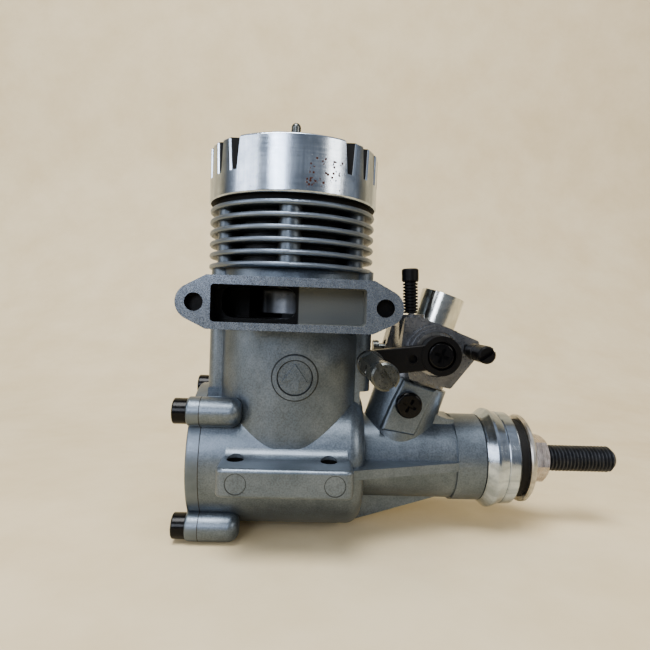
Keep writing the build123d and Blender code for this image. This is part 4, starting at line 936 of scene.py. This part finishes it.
@dataclass
class PropellerShaft:
    """The crankshaft with a real thread cut on its propeller end."""

    paint: Paint
    pitch: float = 0.907
    crest_r: float = 3.17
    depth: float = 0.5
    joint_x: float = 64.25
    chamfer: float = 1.15
    chamfer_ratio: float = 0.9
    sides: int = 48
    flank: tuple[float, ...] = (0.08, 0.40, 0.52, 0.84)

    def smooth_part(self) -> Piece:
        """Copy the plain shaft behind the thread and close its end.

        Returns:
            The shaft's smooth part.
        """
        source = frame["nodes"]["crankshaft"]
        shaft = source.copy()
        shaft.data = source.data.copy()
        shaft.parent = None
        shaft.name = shaft.data.name = "crankshaft_smooth"
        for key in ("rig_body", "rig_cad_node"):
            if key in shaft:
                del shaft[key]
        bpy.context.scene.collection.objects.link(shaft)
        only(shaft)
        bpy.ops.object.mode_set(mode="EDIT")
        bpy.ops.mesh.select_all(action="SELECT")
        bpy.ops.mesh.remove_doubles(threshold=WELD)
        bpy.ops.mesh.select_all(action="SELECT")
        bpy.ops.mesh.bisect(plane_co=(self.joint_x * MM, 0, 0), plane_no=(1, 0, 0),
                            use_fill=True, clear_outer=True, threshold=SNAP)
        bpy.ops.object.mode_set(mode="OBJECT")
        bpy.ops.object.shade_smooth_by_angle(angle=math.radians(30))
        return shaft

    def thread(self) -> Piece:
        """Wind one tooth into a thread and trim it to the stub with its chamfered tip.

        Returns:
            The threaded stub.
        """
        tip_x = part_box("crankshaft")[1].x / MM
        turns = math.ceil((tip_x - self.joint_x) / self.pitch) + 3
        bpy.ops.object.select_all(action="DESELECT")
        bpy.ops.mesh.primitive_circle_add(vertices=len(self.flank) + 2, radius=MM)
        stub = bpy.context.active_object
        stub.name = stub.data.name = "propeller_thread"
        root = self.crest_r - self.depth
        rise, crest, fall, foot = self.flank
        tooth = [(0.0, root), (rise, root), (crest, self.crest_r),
                 (fall, self.crest_r), (foot, root), (1.0, root)]
        for vertex, (share, radius) in zip(stub.data.vertices, tooth):
            vertex.co = (radius * MM, 0, share * self.pitch * MM)
        bpy.ops.object.mode_set(mode="EDIT")
        bpy.ops.mesh.select_mode(type="EDGE")
        bpy.ops.mesh.select_all(action="DESELECT")
        bpy.ops.object.mode_set(mode="OBJECT")
        for edge in stub.data.edges:
            edge.select = set(edge.vertices) == {0, len(tooth) - 1}
        bpy.ops.object.mode_set(mode="EDIT")
        bpy.ops.mesh.delete(type="EDGE_FACE")
        bpy.ops.object.mode_set(mode="OBJECT")
        screw = stub.modifiers.new("wind", "SCREW")
        screw.axis = "Z"
        screw.angle = math.tau
        screw.screw_offset = self.pitch * MM
        screw.iterations = turns
        screw.steps = screw.render_steps = self.sides
        screw.use_merge_vertices = True
        screw.merge_threshold = SNAP
        bpy.ops.object.modifier_apply(modifier=screw.name)
        start = self.joint_x - self.pitch * 1.5
        placed(stub, Vector((start * MM, 0, 0)), Vector((1, 0, 0)))
        bpy.ops.object.mode_set(mode="EDIT")
        bpy.ops.mesh.select_mode(type="VERT")
        bpy.ops.mesh.select_all(action="SELECT")
        bpy.ops.mesh.remove_doubles(threshold=WELD)
        for x, normal in ((self.joint_x, -1.0), (tip_x, 1.0)):
            bpy.ops.mesh.select_all(action="SELECT")
            bpy.ops.mesh.bisect(plane_co=(x * MM, 0, 0), plane_no=(normal, 0, 0),
                                use_fill=True, clear_outer=True, threshold=SNAP)
        bpy.ops.mesh.select_all(action="SELECT")
        bpy.ops.mesh.normals_make_consistent(inside=False)
        bpy.ops.object.mode_set(mode="OBJECT")
        self.taper(stub, tip_x)
        bpy.ops.object.shade_smooth_by_angle(angle=math.radians(25))
        return stub

    def taper(self, stub: Piece, tip_x: float) -> None:
        """Draw the last threads in to the chamfer's cone.

        Args:
            stub: The threaded stub.
            tip_x: Where its tip ends, in millimetres.
        """
        for vertex in stub.data.vertices:
            spare = tip_x - vertex.co.x / MM
            limit = self.crest_r - max(self.chamfer - spare, 0.0) * self.chamfer_ratio
            radius = vertex.co.yz.length / MM
            if radius > limit:
                vertex.co.y *= limit / radius
                vertex.co.z *= limit / radius

    def build(self) -> None:
        """Make both pieces, dress them and put them on the crank."""
        shaft = self.smooth_part()
        self.paint.dress(shaft, GROUND_STEEL)
        stub = self.thread()
        self.paint.dress(stub, THREAD_STEEL)
        for piece in (shaft, stub):
            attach(piece, "crank")
        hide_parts("crankshaft")
        log.info("propeller shaft: %d thread faces", len(stub.data.polygons))


@dataclass
class NeedleKnob:
    """The needle valve's moulded knob: a fluted cap over a ringed barrel."""

    paint: Paint
    cap_r: float = 2.25
    cap_height: float = 2.8
    barrel_r: float = 2.0
    groove_depth: float = 0.5
    ring_count: int = 10
    ring_shares: tuple[float, ...] = (0.55, 0.68, 0.88)
    shoulder: float = 0.25
    ease: float = 0.3
    sides: int = 36
    flute_ratio: float = 0.86
    lean: float = -3.0
    lean_allowance: float = 0.24

    def profile(self, height: float) -> list[tuple[float, float]]:
        """Give the turned profile.

        Args:
            height: The knob's whole height, in millimetres.

        Returns:
            Heights and radii from the base up.
        """
        barrel = height - self.cap_height - self.shoulder
        step = barrel / self.ring_count
        crest_end, root_start, root_end = self.ring_shares
        root_r = self.barrel_r - self.groove_depth
        points = [(0.0, self.barrel_r - self.ease), (self.ease / 2, self.barrel_r)]
        for i in range(self.ring_count):
            base = i * step
            points.append((base + crest_end * step, self.barrel_r))
            points.append((base + root_start * step, root_r))
            points.append((base + root_end * step, root_r))
            points.append((base + step, self.barrel_r))
        points.append((barrel + self.shoulder, self.cap_r - 0.05))
        points.append((barrel + self.ease, self.cap_r))
        points.append((height - self.ease, self.cap_r))
        points.append((height, self.cap_r - self.ease))
        points.append((height + 0.0001, self.cap_r - 3 * self.ease))
        return points

    def build(self) -> None:
        """Make the knob, dress it and put it on the needle."""
        low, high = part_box("needle_knob")
        lean = math.radians(self.lean)
        height = (high.z - low.z) / MM / math.cos(lean) - self.lean_allowance
        axis = Vector((math.sin(lean), 0, math.cos(lean)))
        middle = (low + high) / 2
        knob = turned_part("needle_knob_ringed", self.profile(height), self.sides)
        knurl(knob, height - self.cap_height, height + 1, self.flute_ratio)
        placed(knob, middle - axis * height / 2 * MM, axis)
        eased(knob, 0.0, 30)
        self.paint.dress(knob, BLACK_NYLON)
        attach(knob, "needle")
        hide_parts("needle_knob")
        log.info("needle knob: %d faces", len(knob.data.polygons))


@dataclass
class IdleScrew:
    """The idle mixture screw: a knurled head with a screwdriver slot, on a thin shank."""

    paint: Paint
    head_length: float = 11.0
    shank_r: float = 1.05
    neck_step: float = 0.45
    sides: int = 48
    knurl_ratio: float = 0.92
    slot: Point = (0.75, 1.0, 6.0)
    slot_turn: float = 35.0

    def build(self) -> None:
        """Make the screw, dress it and put it on its body."""
        low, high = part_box("idle_screw")
        head_r = (high.x - low.x) / 2 / MM
        length = (high.y - low.y) / MM
        shank = length - self.head_length
        neck = head_r - self.neck_step
        grip_low = shank + 2.6
        grip_high = shank + 5.6
        rim_low = shank + 6.5
        rim_high = length - 0.45
        profile = [
            (0.0, self.shank_r - 0.2), (0.2, self.shank_r), (shank, self.shank_r),
            (shank + 0.001, neck - 0.2), (shank + 0.3, neck), (shank + 2.4, neck),
            (grip_low, head_r), (grip_high, head_r), (shank + 5.8, neck), (shank + 6.3, neck),
            (rim_low, head_r), (rim_high, head_r), (length, head_r - 0.4),
        ]
        screw = turned_part("idle_screw_knurled", profile, self.sides)
        knurl(screw, grip_low, grip_high, self.knurl_ratio)
        knurl(screw, rim_low, rim_high, self.knurl_ratio)
        cut(screw, slot_cutter(*self.slot, length, self.slot_turn))
        centre = (low + high) / 2
        placed(screw, Vector((centre.x, high.y, centre.z)), Vector((0, -1, 0)))
        eased(screw, 0.0, 30)
        self.paint.dress(screw, BLACK_NYLON)
        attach(screw, "idle")
        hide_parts("idle_screw")
        log.info("idle screw: %d faces", len(screw.data.polygons))


@dataclass
class CadPieces:
    """The frame's own nodes, which keep their shape and take a finish."""

    paint: Paint

    def build(self) -> None:
        """Put each node's finish in its material slots."""
        for finish, nodes in FINISH_NODES.items():
            material = self.paint.of(finish)
            for node in nodes:
                piece = frame["nodes"][node]
                if not piece.material_slots:
                    piece.data.materials.append(material)
                for material_slot in piece.material_slots:
                    material_slot.material = material
                log.info("%s: %s", node, finish.name)


@dataclass(frozen=True)
class Lamp:
    """A square soft light: its place and side in metres, its power in watts."""

    name: str
    place: Point
    size: float
    power: float
    colour: str


@dataclass
class Studio:
    """Paper sweep, soft lights and the camera."""

    paint: Paint
    eye: Point = (3.91, -123.23, 35.41)
    yaw: float = -2.2
    pitch: float = -1.89
    roll: float = -2.08
    lens: float = 27.93
    sensor: float = 36.0
    floor_gap: float = 0.3
    wall_y: float = 0.30
    wall_height: float = 1.6
    bend: float = 0.20
    bend_steps: int = 24
    front_y: float = -0.22
    middle_x: float = 0.03
    width: float = 4.0
    aim: Point = (0.02, 0.0, 0.03)
    sky_low: str = "#5C6068"
    sky_high: str = "#E4ECF8"
    sky_strength: float = 0.42
    lamps: tuple[Lamp, ...] = (
        Lamp("key_above", (-0.08, -0.28, 0.72), 0.4, 11.5, "#FFFFFF"),
        Lamp("window_front", (-0.28, -0.78, 0.32), 0.3, 3.6, "#EAF1FF"),
        Lamp("fill_left", (-0.70, -0.35, 0.25), 0.45, 3.0, "#F2F6FF"),
        Lamp("strip_right", (0.65, -0.45, 0.35), 0.25, 2.2, "#FFF7EC"),
    )

    def camera(self) -> None:
        """Set the camera at the viewing point."""
        data = bpy.data.cameras.new("view")
        data.lens = self.lens
        data.sensor_width = self.sensor
        data.clip_start = 0.002
        data.clip_end = 20.0
        camera = bpy.data.objects.new("view", data)
        bpy.context.scene.collection.objects.link(camera)
        turn = (Matrix.Rotation(math.radians(self.yaw), 3, "Z")
                @ Matrix.Rotation(math.radians(self.pitch), 3, "X")
                @ Matrix.Rotation(math.radians(self.roll), 3, "Y"))
        right, ahead, up = turn.col
        basis = Matrix((right, up, -ahead)).transposed().to_4x4()
        camera.matrix_world = Matrix.Translation(Vector(self.eye) * MM) @ basis
        bpy.context.scene.camera = camera

    def sweep(self) -> None:
        """Lay a sheet of paper that curves up behind the engine."""
        floor = CAD_BOX[0].z - self.floor_gap * MM
        bpy.ops.object.select_all(action="DESELECT")
        depth = self.wall_y - self.bend - self.front_y
        middle_y = self.front_y + depth / 2
        bpy.ops.mesh.primitive_plane_add(size=1.0, location=(self.middle_x, middle_y, floor))
        sheet = bpy.context.active_object
        sheet.name = "paper_sweep"
        sheet.scale = (self.width, depth, 1.0)
        bpy.ops.object.transform_apply()
        bpy.ops.object.mode_set(mode="EDIT")
        bpy.ops.mesh.select_mode(type="EDGE")
        bpy.ops.mesh.select_all(action="DESELECT")
        bpy.ops.object.mode_set(mode="OBJECT")
        for edge in sheet.data.edges:
            edge.select = all(sheet.data.vertices[i].co.y > middle_y for i in edge.vertices)
        bpy.ops.object.mode_set(mode="EDIT")
        for i in range(self.bend_steps):
            a = i / self.bend_steps * math.pi / 2
            b = (i + 1) / self.bend_steps * math.pi / 2
            back = self.bend * (math.sin(b) - math.sin(a))
            rise = self.bend * (math.cos(a) - math.cos(b))
            bpy.ops.mesh.extrude_edges_move(TRANSFORM_OT_translate={"value": (0, back, rise)})
        bpy.ops.mesh.extrude_edges_move(TRANSFORM_OT_translate={"value": (0, 0, self.wall_height)})
        bpy.ops.object.mode_set(mode="OBJECT")
        bpy.ops.object.shade_smooth()
        self.paint.dress(sheet, PAPER)

    def hang(self, lamp: Lamp) -> None:
        """Hang one soft light that faces the engine.

        Args:
            lamp: The light wanted.
        """
        data = bpy.data.lights.new(lamp.name, "AREA")
        data.size = lamp.size
        data.energy = lamp.power
        data.color = linear(lamp.colour)[:3]
        light = bpy.data.objects.new(lamp.name, data)
        light.location = lamp.place
        light.rotation_mode = "QUATERNION"
        light.rotation_quaternion = (Vector(lamp.place) - Vector(self.aim)).to_track_quat("Z", "Y")
        light.visible_camera = False
        bpy.context.scene.collection.objects.link(light)

    def sky(self) -> None:
        """Fill the room with an even pale light, brighter above."""
        world = bpy.data.worlds.new("room")
        world.use_nodes = True
        tree = world.node_tree
        tree.nodes.clear()
        point = add(tree, "ShaderNodeTexCoord").outputs["Generated"]
        axes = add(tree, "ShaderNodeSeparateXYZ", None, {0: point})
        ramp = add(tree, "ShaderNodeMapRange", None,
                   {"Value": axes.outputs[2], "From Min": -0.6, "From Max": 0.8})
        tone = mixed(tree, ramp.outputs[0], linear(self.sky_low), linear(self.sky_high))
        back = add(tree, "ShaderNodeBackground", None, {"Color": tone, "Strength": self.sky_strength})
        add(tree, "ShaderNodeOutputWorld", None, {"Surface": back.outputs[0]})
        bpy.context.scene.world = world

    def build(self) -> None:
        """Make the whole studio."""
        self.camera()
        self.sweep()
        self.sky()
        for lamp in self.lamps:
            self.hang(lamp)
        log.info("studio ready")


def main() -> None:
    """Dress the frame, model the detailed pieces and set the scene."""
    logging.basicConfig(level=logging.INFO, format="%(name)s %(message)s")
    paint = Paint()
    CadPieces(paint).build()
    PropellerShaft(paint).build()
    NeedleKnob(paint).build()
    IdleScrew(paint).build()
    Studio(paint).build()


if __name__ == "__main__":
    main()
